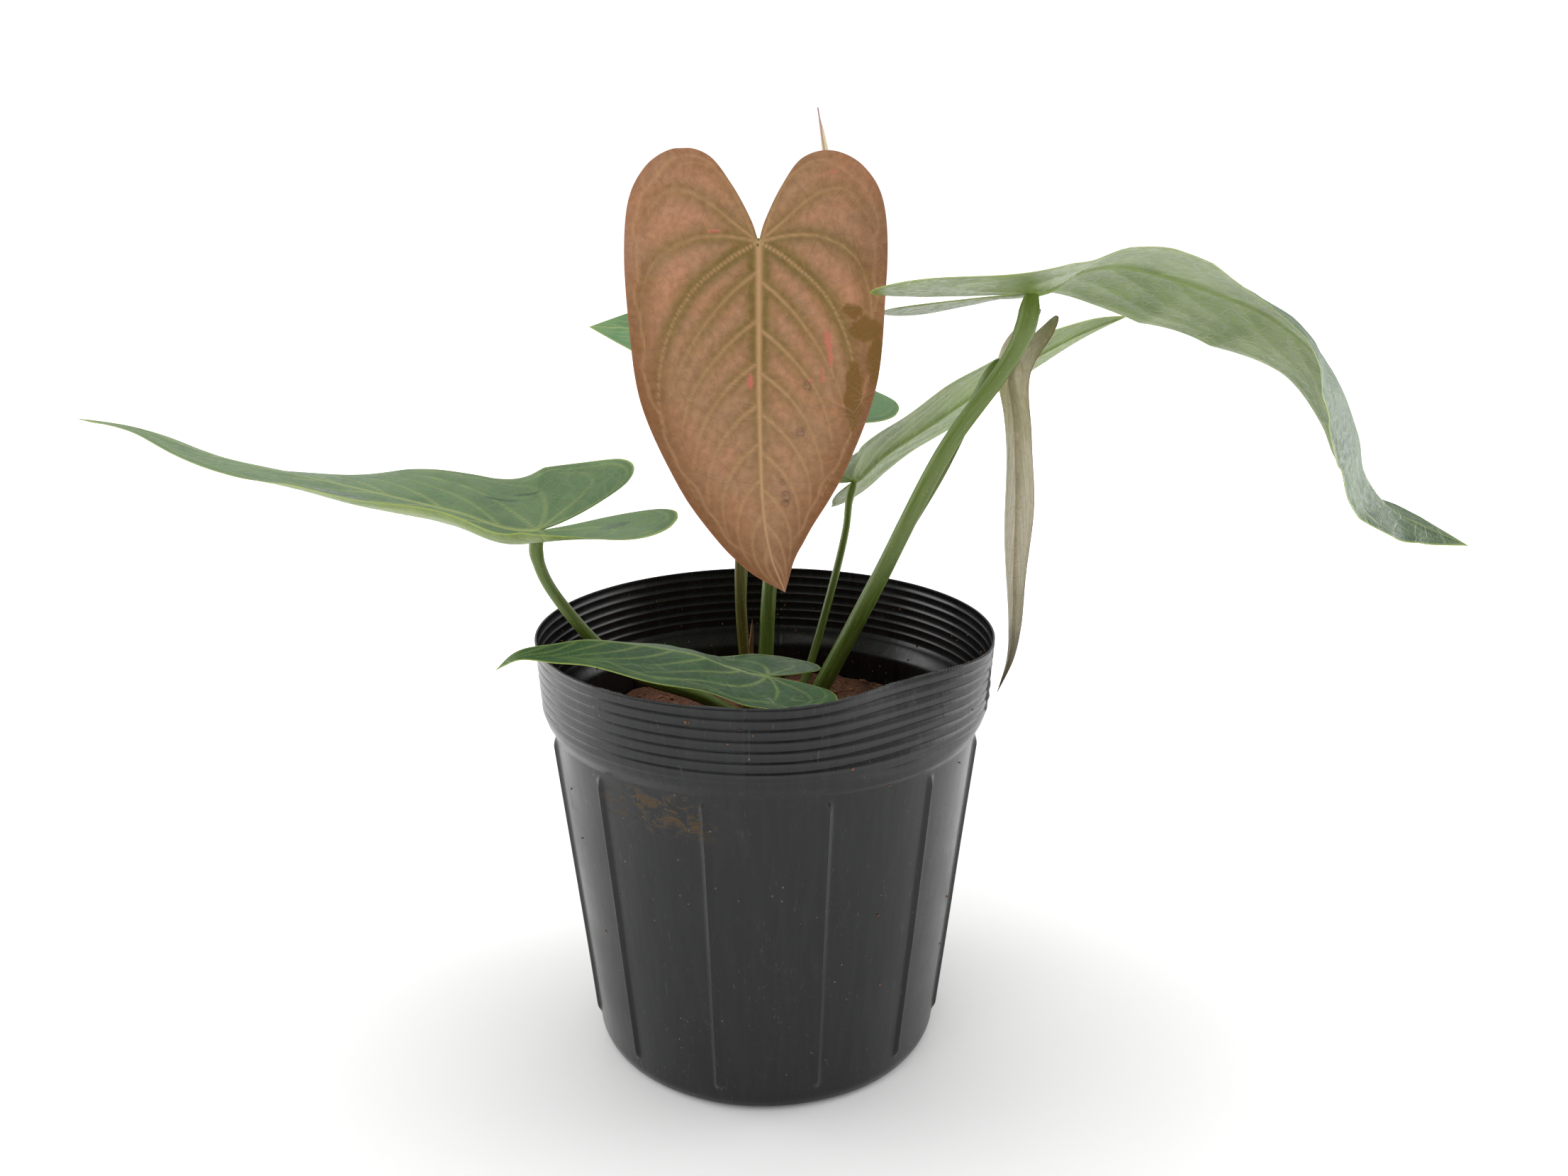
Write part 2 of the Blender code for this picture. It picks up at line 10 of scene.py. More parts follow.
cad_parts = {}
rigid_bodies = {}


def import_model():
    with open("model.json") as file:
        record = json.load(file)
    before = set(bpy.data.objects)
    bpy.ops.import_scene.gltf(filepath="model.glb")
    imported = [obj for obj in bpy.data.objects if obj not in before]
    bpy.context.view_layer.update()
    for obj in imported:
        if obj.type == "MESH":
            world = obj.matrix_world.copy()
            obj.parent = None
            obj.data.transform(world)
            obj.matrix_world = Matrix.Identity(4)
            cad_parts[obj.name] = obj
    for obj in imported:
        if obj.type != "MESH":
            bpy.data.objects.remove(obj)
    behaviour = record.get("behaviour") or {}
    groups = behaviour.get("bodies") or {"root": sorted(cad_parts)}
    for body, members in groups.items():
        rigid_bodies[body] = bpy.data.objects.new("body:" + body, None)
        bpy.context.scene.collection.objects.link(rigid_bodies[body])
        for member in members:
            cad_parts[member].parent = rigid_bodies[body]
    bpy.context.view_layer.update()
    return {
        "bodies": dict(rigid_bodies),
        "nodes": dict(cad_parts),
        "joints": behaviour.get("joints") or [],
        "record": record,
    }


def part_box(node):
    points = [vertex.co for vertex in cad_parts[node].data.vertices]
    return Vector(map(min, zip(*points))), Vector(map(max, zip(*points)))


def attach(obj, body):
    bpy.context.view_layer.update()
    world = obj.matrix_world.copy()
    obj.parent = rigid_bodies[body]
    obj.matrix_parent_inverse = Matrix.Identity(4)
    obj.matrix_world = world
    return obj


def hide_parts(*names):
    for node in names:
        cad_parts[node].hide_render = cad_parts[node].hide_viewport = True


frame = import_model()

BODY = "root"
MM = 0.001
RANDOM = random.Random(11)

# ---------------------------------------------------------------- the plant's shape, in millimetres
# Half of the heart-shaped outline: along (fraction of the lobe's length behind the junction, or of
# the midrib's length in front of it) and across (fraction of the half width).
HALF_OUTLINE = [
    (-0.03, 0.005), (-0.26, 0.06), (-0.62, 0.19), (-0.93, 0.36), (-1.0, 0.60), (-0.80, 0.84),
    (-0.35, 0.985), (0.14, 1.0), (0.42, 0.915), (0.66, 0.655), (0.83, 0.36), (0.94, 0.13), (1.0, 0.0),
]

# Each leaf as in the frame: midrib points (the second is the junction), the way the upper face
# looks, half widths, lobes, and each half's angle and curl in degrees along the midrib. wave is the
# edge's height, number of waves and phase, quilt how far the veins sink, steps the grid's fineness.
LEAVES = {
    "copper": dict(
        spine=[(-3, -17, 390), (-2, -22, 355), (-2, -27, 331), (-2, -33, 296), (-1, -38, 257),
               (2, -42, 235), (8, -45, 219)],
        face=[(0, 0, -1, 0.15), (1, 0, -1, 0.25)],
        widths=(52, 50), lobes=(1.0, 0.93), bend=1.5,
        fold=([(0, 6), (1, 10)], [(0, 6), (1, 10)]),
        curl=([(-0.3, -10), (1, -25)], [(-0.3, -10), (1, -25)]),
        wave=(0.9, 2.3, 0.1), quilt=0.9, steps=(210, 64),
    ),
    "left": dict(
        spine=[(-38, -8, 254), (-96, -10, 237), (-132, -12, 246), (-174, -14, 257),
               (-226, -16, 270), (-253, -17, 281), (-277, -20, 286)],
        face=[(0, 0, 0, 1), (1, 0, 0, 1)],
        widths=(45, 43), lobes=(0.74, 1.0), bend=3,
        fold=([(-0.3, 27), (0, 25), (0.15, 14), (0.35, 4), (0.6, -14), (1, -14)],
              [(-0.3, -16), (0, 0), (0.5, 0), (0.62, 6), (1, 4)]),
        curl=([(0, -6), (1, -6)], [(-0.3, 0), (0, 50), (0.5, 45), (0.62, -20), (0.8, 0)]),
        wave=(1.2, 3.2, 0.3), quilt=0.5, steps=(150, 44),
    ),
    "right": dict(
        spine=[(38, -24, 331), (106, -20, 336), (124, -18, 344), (145, -15, 346), (178, -12, 337),
               (209, -10, 324), (235, -8, 303), (249, -8, 277), (254, -8, 260), (265, -9, 246),
               (279, -10, 238), (301, -12, 229)],
        face=[(-0.4, 0, 0.1, 1), (0, 0, 0.1, 1), (0.3, 0, 0.2, 1), (0.45, 0.1, 0.2, 1),
              (0.6, 0.5, 0.1, 1), (0.75, 1, 0, 0.5), (0.85, 1, -0.2, 0.3), (0.92, 0.5, -0.6, 1),
              (1, 0.4, -0.6, 1)],
        widths=(60, 56), lobes=(1.0, 0.82), bend=1.5,
        fold=([(-0.3, 5), (0, 6), (0.15, -2), (0.4, -8), (0.55, -20), (0.7, -32), (0.8, -32),
               (0.9, -6)],
              [(-0.3, -6), (0, -2), (0.15, -6), (0.3, -10), (0.45, -6), (0.6, -2), (0.8, 0),
               (0.9, -8)]),
        curl=([(0, 0), (0.2, -6), (0.35, -30), (0.5, -60), (0.7, -40), (0.85, -20), (1, 0)],
              [(0, 0), (1, 0)]),
        wave=(1.3, 3.0, 0.0), quilt=0.9, steps=(180, 50),
    ),
    "rear": dict(
        spine=[(68, 44, 290), (30, 61, 295), (4, 67, 304), (-26, 74, 310), (-57, 81, 313),
               (-84, 87, 314)],
        face=[(0, 0, -0.5, 1), (1, 0, -0.5, 1)],
        widths=(38, 40), lobes=(0.35, 1.0), bend=2,
        fold=([(0, 6), (1, 10)], [(0, 0), (1, 0)]),
        curl=([(0, 0), (1, 0)], [(0, 0), (1, 0)]),
        wave=(0.8, 2.4, 0.5), quilt=0.6, steps=(140, 40),
    ),
    "right_rear": dict(
        spine=[(24, 50, 240), (42, 57, 245), (57, 62, 257), (82, 68, 272), (109, 74, 289),
               (137, 80, 304), (157, 84, 313), (176, 88, 319)],
        face=[(-0.3, -0.5, 0.3, 0.77), (0, -0.55, 0.42, 0.72), (1, -0.5, 0.46, 0.72)],
        widths=(34, 34), lobes=(1.0, 0.3), bend=2,
        fold=([(0, 4), (1, 4)], [(0, 4), (1, 4)]),
        curl=([(0, -8), (1, -8)], [(0, -8), (1, -8)]),
        wave=(0.9, 3.0, 0.2), quilt=0.6, steps=(140, 40),
    ),
    "hanging": dict(
        spine=[(119, 6, 326), (106, 6, 305), (109, 7, 278), (111, 8, 247), (111, 6, 215),
               (111, 3, 190), (109, -1, 175), (103, -6, 161)],
        face=[(0, 1, 0.1, 0), (1, 1, 0.1, 0)],
        widths=(22, 22), lobes=(1.0, 1.0), bend=2,
        fold=([(0, 0), (1, 0)], [(0, 0), (1, 0)]),
        curl=([(0, 0), (1, 0)], [(0, 0), (1, 0)]),
        wave=(0.7, 2.0, 0.4), quilt=0.5, steps=(140, 36),
    ),
    "front": dict(
        spine=[(26, -38, 180), (1, -43, 183), (-13, -48, 188), (-31, -52, 196), (-66, -57, 203),
               (-84, -59, 202), (-97, -61, 200), (-106, -63, 193)],
        face=[(0, 0, -0.1, 1), (1, 0, -0.1, 1)],
        widths=(27, 30), lobes=(1.0, 1.0), bend=2,
        fold=([(0, -6), (0.3, -20), (1, -26)], [(0, -4), (1, -8)]),
        curl=([(0, 0), (1, 0)], [(0, 0), (1, 0)]),
        wave=(0.6, 2.6, 0.3), quilt=0.5, steps=(140, 40),
    ),
}

# Each petiole: where it leaves the crown (degrees round it), its radius, and its points.
PETIOLES = {
    "copper": (165, 2.6, [(-11, 11, 200), (-9, 5, 260), (-5, -3, 325), (-3, -9, 350)]),
    "left": (205, 2.9,
             [(-30, 2, 157), (-55, -5, 169), (-74, -8, 186), (-91, -9, 209), (-97, -10, 225)]),
    "right": (-20, 4.0, [(25, 0, 162), (48, -8, 212), (74, -13, 269), (96, -17, 303), (104, -20, 320)]),
    "rear": (112, 3.6, [(0, 27, 165), (3, 33, 210), (10, 44, 250), (24, 62, 283)]),
    "right_rear": (52, 2.0, [(20, 27, 160), (32, 38, 200), (38, 48, 222), (40, 54, 236)]),
    "hanging": (18, 2.7, [(27, 12, 158), (48, 10, 206), (76, 10, 256), (90, 8, 288), (98, 6, 303)]),
    "front": (270, 2.4, [(3, -14, 158), (2, -34, 170)]),
}
PEDUNCLE = (139, 1.6, [(-8, 21, 165), (-10, 20, 200), (-4, 14, 255), (8, 4, 295), (17, 0, 320),
                       (21, 3, 338)])

CROWN_CENTRE = (4.0, 12.0)
CROWN_RADIUS = 9.0
CROWN_BOTTOM = 130.0
CROWN_TOP = 152.0
MIX_EDGE = 137.0
MIX_CROWN = 141.0

RIM_RADIUS = 100.0
POT_HEIGHT = 190.5
BASE_RADIUS = 78.7
BASE_CORNER = 4.7
WALL_TOP_RADIUS = 94.0
WALL_TOP = 151.0
BAND_BOTTOM = 159.5
BAND_BOTTOM_RADIUS = 98.0
RING_COUNT = 7
RIB_COUNT = 12
RIB_HEIGHT = 1.5
RIB_HALF_WIDTH = 1.3
RIB_BOTTOM = 12.0
RIB_TOP = 147.0
DENT_DEPTH = 12.0
DENT_AZIMUTH = math.radians(-53)
DENT_HALF_WIDTH = math.radians(36)
SEAM_AZIMUTH = math.radians(-94.5)
FIN_AZIMUTH = math.radians(-19.5)
WALL_THICKNESS = 0.55
SKIN_LIMIT = RIM_RADIUS + 0.25
LIP_TEETH = 390

# Millimetres: the blade's half thickness at its margin, what it gains inwards, and its veins' relief.
MARGIN_HALF_THICKNESS = 0.10
INNER_EXTRA_THICKNESS = 0.14
VEIN_RISE = 0.14
VEIN_DROP = 0.30

# The camera: metres, degrees down and to the right, and a lens on a sensor 36 mm wide.
CAMERA_PLACE = (0.0, -0.5375, 0.3612)
CAMERA_TILT = 15.90
CAMERA_TURN = 0.88
CAMERA_LENS = 29.29
CAMERA_SENSOR = 36.0
FLOOR_DROP = 0.0004

SPATHE_BASE = (21.5, 5.0, 345.0)
SPATHE_TIP = (20.0, 6.0, 406.3)
SPATHE_HALF_WIDTH = 10.6
SPADIX_HEIGHT = 38.5
SPADIX_RADIUS = 1.7
CRUMB_COUNT = 520
FIBRE_COUNT = 420
FIBRE_STEPS = 7
WALL_CRUMB_COUNT = 150

# Veins of one half, as (along, across) fractions like those of the outline, with a strength.
BASAL_VEINS = [
    (1.0, [(0, 0), (0.055, 0.24), (0.15, 0.52), (0.28, 0.70), (0.42, 0.76), (0.56, 0.70), (0.72, 0.48)]),
    (0.8, [(0, 0), (-0.06, 0.27), (-0.02, 0.52), (0.05, 0.76), (0.16, 0.88), (0.3, 0.88)]),
    (0.65, [(-0.04, 0.04), (-0.22, 0.20), (-0.42, 0.36), (-0.56, 0.55), (-0.52, 0.72), (-0.2, 0.87)]),
    (0.45, [(-0.04, 0.03), (-0.37, 0.12), (-0.70, 0.25), (-0.84, 0.42), (-0.82, 0.6)]),
]
LATERAL_STARTS = [0.085, 0.22, 0.34, 0.455, 0.565, 0.67, 0.77, 0.86]


# ---------------------------------------------------------------- small helpers
def curve_through(points, count):
    """Evenly spaced points of a smooth curve that passes through the given ones."""
    ends = np.array(points, float)
    ends = np.vstack([2 * ends[0] - ends[1], ends, 2 * ends[-1] - ends[-2]])
    pieces = []
    for index in range(1, len(ends) - 2):
        before, start, stop, after = ends[index - 1 : index + 3]
        t = np.linspace(0, 1, 24, endpoint=False)[:, None]
        pieces.append(
            0.5 * (2 * start + (stop - before) * t + (2 * before - 5 * start + 4 * stop - after) * t**2
                   + (3 * start - before - 3 * stop + after) * t**3)
        )
    pieces.append(ends[-2][None])
    dense = np.vstack(pieces)
    steps = np.linalg.norm(np.diff(dense, axis=0), axis=1)
    length = np.concatenate([[0], np.cumsum(steps)])
    wanted = np.linspace(0, length[-1], count)
    return np.stack([np.interp(wanted, length, column) for column in dense.T], axis=1)


def unit(vectors):
    return vectors / np.maximum(np.linalg.norm(vectors, axis=-1, keepdims=True), 1e-12)


def lookup(keys, where):
    """Values at the given places, read between keys of (place, value, ...)."""
    table = np.array(keys, float)
    columns = [np.interp(where, table[:, 0], table[:, column]) for column in range(1, table.shape[1])]
    return np.stack(columns, axis=-1)


def grid_faces(rows, columns, closed):
    faces = []
    for row in range(rows - 1):
        for column in range(columns if closed else columns - 1):
            after = (column + 1) % columns
            low = row * columns
            faces.append((low + column, low + after, low + columns + after, low + columns + column))
    return faces


def shell_faces(rows, columns):
    """Faces of a thin closed sheet: a grid, the same grid again behind it, and the strip between."""
    count = rows * columns
    front = grid_faces(rows, columns, False)
    faces = front + [tuple(count + corner for corner in face[::-1]) for face in front]
    border = [row * columns for row in range(rows)]
    border += [(rows - 1) * columns + column for column in range(1, columns)]
    border += [row * columns + columns - 1 for row in range(rows - 2, -1, -1)]
    border += list(range(columns - 2, 0, -1))
    for index, corner in enumerate(border):
        after = border[(index + 1) % len(border)]
        faces.append((corner, after, count + after, count + corner))
    return faces


def capped_faces(rows, columns):
    """Faces of a closed tube of rings with both ends capped."""
    low = (rows - 1) * columns
    return [*grid_faces(rows, columns, True), tuple(range(columns)), tuple(range(low, low + columns))]


def ball(kind, **settings):
    """Points and faces of a ball with a radius of 1."""
    bm = bmesh.new()
    getattr(bmesh.ops, "create_" + kind)(bm, radius=1.0, **settings)
    points = np.array([vertex.co for vertex in bm.verts])
    faces = [tuple(vertex.index for vertex in face.verts) for face in bm.faces]
    bm.free()
    return points, faces


def around(centre, radius, turn, height):
    """A point at a radius and an angle round an upright axis."""
    return (centre[0] + radius * math.cos(turn), centre[1] + radius * math.sin(turn), height)


def add_piece(name, points, faces, finish, nodes=(), attributes=None, angle=50, merge=0.0):
    """A mesh piece from points in millimetres that rides on the plant's one body."""
    mesh = bpy.data.meshes.new(name)
    mesh.from_pydata((np.asarray(points, float) * MM).tolist(), [], faces)
    for label, values in (attributes or {}).items():
        values = np.asarray(values, float)
        if values.ndim == 1:
            made = mesh.attributes.new(label, "FLOAT", "POINT")
            made.data.foreach_set("value", values)
        else:
            made = mesh.attributes.new(label, "FLOAT_VECTOR", "POINT")
            made.data.foreach_set("vector", values.reshape(-1))
    bm = bmesh.new()
    bm.from_mesh(mesh)
    if merge:
        bmesh.ops.remove_doubles(bm, verts=bm.verts, dist=merge * MM)
        bmesh.ops.dissolve_degenerate(bm, edges=bm.edges, dist=merge * MM)
    bmesh.ops.recalc_face_normals(bm, faces=bm.faces)
    bm.to_mesh(mesh)
    bm.free()
    mesh.materials.append(finish)
    mesh.shade_smooth()
    mesh.set_sharp_from_angle(angle=math.radians(angle))
    obj = bpy.data.objects.new(name, mesh)
    bpy.context.scene.collection.objects.link(obj)
    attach(obj, BODY)
    if nodes:
        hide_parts(*nodes)
    return obj


def bumps(points, scale, seed=0.0):
    """Smooth noise at each point, from -1 to 1, with features about 1 / scale millimetres wide."""
    return np.array([noise.noise(Vector((x * scale + seed, y * scale, z * scale))) for x, y, z in points])


# ---------------------------------------------------------------- material helpers
class Finish:
    """A node material that is built up one node at a time."""

    def __init__(self, name, roughness=0.5):
        self.material = bpy.data.materials.new(name)
        self.material.use_nodes = True
        self.tree = self.material.node_tree
        self.shader = self.tree.nodes["Principled BSDF"]
        self.shader.inputs["Roughness"].default_value = roughness

    def node(self, kind, **settings):
        made = self.tree.nodes.new(kind)
        for key, value in settings.items():
            setattr(made, key, value)
        return made

    def put(self, value, socket):
        if isinstance(value, bpy.types.NodeSocket):
            self.tree.links.new(value, socket)
        else:
            socket.default_value = value

    def attribute(self, name, vector=False):
        made = self.node("ShaderNodeAttribute", attribute_name=name)
        return made.outputs["Vector" if vector else "Fac"]

    def place(self):
        return self.node("ShaderNodeTexCoord").outputs["Object"]

    def math(self, operation, first, second=0.0, clamp=False):
        made = self.node("ShaderNodeMath", operation=operation, use_clamp=clamp)
        self.put(first, made.inputs[0])
        self.put(second, made.inputs[1])
        return made.outputs[0]

    def times(self, first, second, clamp=False):
        return self.math("MULTIPLY", first, second, clamp)

    def stretched(self, vector, scale):
        made = self.node("ShaderNodeMapping")
        self.put(vector, made.inputs["Vector"])
        made.inputs["Scale"].default_value = scale
        return made.outputs[0]

    def noise(self, vector, scale, detail=4.0, distortion=0.0, roughness=0.5):
        made = self.node("ShaderNodeTexNoise")
        self.put(vector, made.inputs["Vector"])
        made.inputs["Scale"].default_value = scale
        made.inputs["Detail"].default_value = detail
        made.inputs["Roughness"].default_value = roughness
        made.inputs["Distortion"].default_value = distortion
        return made.outputs["Fac"]

    def cells(self, vector, scale, feature="DISTANCE_TO_EDGE"):
        made = self.node("ShaderNodeTexVoronoi", feature=feature)
        self.put(vector, made.inputs["Vector"])
        made.inputs["Scale"].default_value = scale
        return made.outputs["Distance"]

    def span(self, value, low, high, to_low=0.0, to_high=1.0):
        made = self.node("ShaderNodeMapRange", interpolation_type="SMOOTHSTEP")
        self.put(value, made.inputs["Value"])
        ends = {"From Min": low, "From Max": high, "To Min": to_low, "To Max": to_high}
        for label, number in ends.items():
            made.inputs[label].default_value = number
        return made.outputs["Result"]

    def band(self, value, start, full, fade, end):
        """1 between full and fade, falling to 0 at start and at end."""
        rise = self.span(value, start, full)
        return self.times(rise, self.span(value, fade, end, 1.0, 0.0))

    def mix(self, factor, first, second):
        made = self.node("ShaderNodeMix", data_type="RGBA")
        self.put(factor, made.inputs["Factor"])
        for value, socket in ((first, made.inputs[6]), (second, made.inputs[7])):
            self.put((*value, 1.0) if isinstance(value, tuple) else value, socket)
        return made.outputs[2]

    def bump(self, height, strength, distance):
        made = self.node("ShaderNodeBump")
        self.put(height, made.inputs["Height"])
        made.inputs["Strength"].default_value = strength
        made.inputs["Distance"].default_value = distance
        self.tree.links.new(made.outputs[0], self.shader.inputs["Normal"])

    def colour(self, value):
        self.put(value, self.shader.inputs["Base Color"])

    def roughness(self, value):
        self.put(value, self.shader.inputs["Roughness"])


def leaf_finish(name, tones, gloss=0.4, network=0.5):
    """A leaf's two faces: blotchy colour, pale veins, a fine net of veinlets, a coloured margin."""
    finish = Finish(name, gloss)
    finish.shader.inputs["Specular IOR Level"].default_value = 0.34
    flat = finish.attribute("flat", vector=True)
    vein = finish.attribute("vein")
    under = finish.attribute("under")
    blotch = finish.noise(flat, 0.045, 5.0, 0.6)
    mottle = finish.noise(flat, 0.35, 6.0, 0.3)
    upper = finish.mix(finish.span(blotch, 0.38, 0.62), tones["upper_a"], tones["upper_b"])
    upper = finish.mix(finish.attribute("gold"), upper, tones["gold"])
    upper = finish.mix(finish.attribute("dark"), upper, tones["dark"])
    lower = finish.mix(finish.span(blotch, 0.35, 0.65), tones["lower_a"], tones["lower_b"])
    body = finish.mix(under, upper, lower)
    shade = finish.span(mottle, 0.3, 0.7, 0.88, 1.1)
    tinted = finish.node("ShaderNodeMix", data_type="RGBA", blend_type="MULTIPLY")
    tinted.inputs["Factor"].default_value = 1.0
    finish.put(body, tinted.inputs[6])
    spread = finish.node("ShaderNodeCombineColor")
    for channel in range(3):
        finish.put(shade, spread.inputs[channel])
    finish.put(spread.outputs[0], tinted.inputs[7])
    net = finish.span(finish.cells(flat, 0.13), 0.02, 0.07, 1.0, 0.0)
    fine = finish.span(finish.cells(flat, 0.42), 0.02, 0.10, 1.0, 0.0)
    web = finish.math("MAXIMUM", net, finish.times(fine, 0.45))
    body = finish.mix(finish.times(web, network), tinted.outputs[2], tones["net"])
    body = finish.mix(finish.times(vein, 0.9, clamp=True), body, tones["vein"])
    body = finish.mix(finish.attribute("edge"), body, tones["edge"])
    body = finish.mix(finish.attribute("scar"), body, tones["scar"])
    wet = finish.attribute("wet")
    finish.colour(finish.mix(wet, body, tones["wet"]))
    rough = finish.span(mottle, 0.3, 0.7, gloss - 0.05, gloss + 0.12)
    finish.roughness(finish.math("SUBTRACT", rough, finish.times(wet, 0.28), clamp=True))
    relief = finish.math("ADD", finish.times(web, -0.5), finish.times(mottle, 0.6))
    finish.bump(finish.math("SUBTRACT", relief, finish.attribute("scar")), 0.35, 0.0006)
    return finish.material


def stalk_finish(name, low, high, streak, gloss=0.38):
    """A smooth stalk, with fine lengthwise streaks, pale specks and a change of colour along it."""
    finish = Finish(name, gloss)
    flat = finish.attribute("flat", vector=True)
    body = finish.mix(finish.attribute("along"), low, high)
    lines = finish.noise(finish.stretched(flat, (1.0, 0.05, 1.0)), 0.9, 5.0, 0.2)
    body = finish.mix(finish.span(lines, 0.42, 0.68, 0.0, 0.55), body, streak)
    specks = finish.span(finish.cells(flat, 0.55, "F1"), 0.10, 0.18, 0.5, 0.0)
    finish.colour(finish.mix(specks, body, (0.36, 0.38, 0.16)))
    finish.roughness(finish.span(lines, 0.3, 0.7, gloss - 0.06, gloss + 0.12))
    finish.bump(lines, 0.25, 0.0004)
    return finish.material


def pot_finish():
    """Thin black blow-moulded plastic: faint vertical draw lines, scuffs, dust and dried mud."""
    finish = Finish("pot_plastic", 0.33)
    finish.shader.inputs["Specular IOR Level"].default_value = 0.36
    place = finish.place()
    split = finish.node("ShaderNodeSeparateXYZ")
    finish.put(place, split.inputs[0])
    x, y, z = split.outputs
    draw = finish.noise(finish.stretched(place, (1.0, 1.0, 0.05)), 320.0, 5.0, 0.3)
    cloud = finish.noise(place, 22.0, 6.0, 0.4)
    dust = finish.span(finish.noise(place, 46.0, 9.0, 1.2, 0.7), 0.56, 0.74)
    specks = finish.span(finish.cells(place, 260.0, "F1"), 0.05, 0.14, 1.0, 0.0)
    rare = finish.span(finish.noise(place, 120.0, 2.0), 0.57, 0.63)
    speck = finish.times(specks, rare)
    body = finish.mix(finish.span(draw, 0.35, 0.7), (0.0050, 0.0052, 0.0058), (0.0095, 0.0098, 0.0108))
    body = finish.mix(finish.times(dust, 0.09), body, (0.10, 0.095, 0.09))
    low_band = finish.band(z, 0.020, 0.040, 0.060, 0.090)
    middle = finish.band(x, -0.035, -0.012, 0.012, 0.04)
    front = finish.times(finish.span(y, -0.06, -0.03, 1.0, 0.0), middle)
    scuff_noise = finish.span(finish.noise(place, 150.0, 10.0, 2.5, 0.75), 0.60, 0.72)
    scuff = finish.times(scuff_noise, finish.times(low_band, front))
    body = finish.mix(finish.times(scuff, 0.55), body, (0.20, 0.20, 0.20))
    scratches = finish.noise(finish.stretched(place, (1.0, 1.0, 0.16)), 420.0, 3.0, 2.0)
    hairs = finish.span(scratches, 0.66, 0.72)
    body = finish.mix(finish.times(hairs, 0.10), body, (0.25, 0.25, 0.25))
    mud_band = finish.band(z, 0.128, 0.138, 0.146, 0.152)
    mud_side = finish.band(x, -0.070, -0.055, -0.026, -0.015)
    mud_place = finish.times(mud_band, mud_side)
    mud_front = finish.times(mud_place, finish.span(y, -0.02, 0.0, 1.0, 0.0))
    clots = finish.noise(finish.stretched(place, (1.0, 1.0, 1.7)), 110.0, 9.0, 1.6, 0.72)
    mud_noise = finish.span(clots, 0.50, 0.60)
    mud = finish.times(mud_front, mud_noise)
    body = finish.mix(finish.times(mud, 0.5), body, (0.13, 0.075, 0.018))
    body = finish.mix(finish.times(speck, 0.5), body, (0.30, 0.22, 0.15))
    finish.colour(body)
    rough = finish.span(cloud, 0.3, 0.7, 0.22, 0.36)
    worn = finish.math("ADD", finish.times(dust, 0.12), finish.times(mud, 0.4))
    finish.roughness(finish.math("ADD", rough, worn, clamp=True))
    relief = finish.math("ADD", finish.times(draw, 0.25), finish.times(cloud, 1.0))
    finish.bump(finish.math("ADD", relief, finish.times(mud, 0.5)), 0.35, 0.0008)
    return finish.material


def coir_finish(name, dark, light, scale=900.0):
    finish = Finish(name, 0.92)
    place = finish.place()
    grain = finish.noise(place, scale, 8.0, 0.8, 0.65)
    patch = finish.noise(place, scale / 8, 4.0)
    body = finish.mix(finish.span(grain, 0.36, 0.64), dark, light)
    finish.colour(finish.mix(finish.span(patch, 0.4, 0.66, 0.0, 0.55), body, tuple(0.4 * c for c in dark)))
    finish.roughness(finish.span(grain, 0.3, 0.7, 0.82, 0.98))
    finish.bump(grain, 0.8, 0.0008)
    return finish.material


def papery_finish(name, first, second):
    finish = Finish(name, 0.62)
    flat = finish.attribute("flat", vector=True)
    lines = finish.noise(finish.stretched(flat, (1.0, 0.07, 1.0)), 1.6, 6.0, 0.4)
    body = finish.mix(finish.span(lines, 0.36, 0.62), first, second)
    finish.colour(finish.mix(finish.attribute("edge"), body, (0.42, 0.14, 0.09)))
    finish.roughness(finish.span(lines, 0.3, 0.7, 0.5, 0.72))
    finish.bump(lines, 0.4, 0.0005)
    return finish.material


def spathe_finish():
    finish = Finish("spathe", 0.4)
    flat = finish.attribute("flat", vector=True)
    lines = finish.noise(finish.stretched(flat, (1.0, 0.08, 1.0)), 1.1, 4.0, 0.2)
    body = finish.mix(finish.span(lines, 0.35, 0.65), (0.50, 0.47, 0.20), (0.62, 0.56, 0.32))
    body = finish.mix(finish.attribute("edge"), body, (0.56, 0.30, 0.26))
    finish.colour(finish.mix(finish.attribute("along"), body, (0.42, 0.24, 0.26)))
    finish.roughness(finish.span(lines, 0.3, 0.7, 0.34, 0.5))
    finish.bump(lines, 0.3, 0.0003)
    return finish.material


def spadix_finish():
    finish = Finish("spadix", 0.5)
    place = finish.place()
    dots = finish.cells(place, 1100.0, "F1")
    finish.colour(finish.mix(finish.span(dots, 0.2, 0.6), (0.72, 0.64, 0.10), (0.50, 0.50, 0.03)))
    finish.roughness(finish.span(dots, 0.1, 0.6, 0.4, 0.6))
    finish.bump(dots, 0.6, 0.0003)
    return finish.material


def water_finish():
    finish = Finish("water", 0.03)
    finish.shader.inputs["Transmission Weight"].default_value = 1.0
    finish.shader.inputs["IOR"].default_value = 1.33
    ripple = finish.noise(finish.place(), 900.0, 2.0)
    finish.colour(finish.mix(ripple, (1.0, 0.97, 0.93), (1.0, 1.0, 1.0)))
    return finish.material


def floor_finish():
    finish = Finish("studio_floor", 0.6)
    cloud = finish.noise(finish.place(), 3.0, 2.0)
    finish.colour(finish.mix(cloud, (0.86, 0.86, 0.86), (0.88, 0.88, 0.88)))
    # Painted shadow and painted light: the floor glows, weakly close to the pot and more strongly further
    # out, so a painted shadow lies round the pot's base and the glowing floor lights the plant.
    glow = finish.node("ShaderNodeVectorMath", operation="LENGTH")
    finish.put(finish.place(), glow.inputs[0])
    finish.shader.inputs["Emission Color"].default_value = (1.0, 1.0, 1.0, 1.0)
    painted_shadow_and_glow = finish.span(glow.outputs["Value"], 0.08, 0.85, 0.10, 0.85)
    finish.put(painted_shadow_and_glow, finish.shader.inputs["Emission Strength"])
    return finish.material


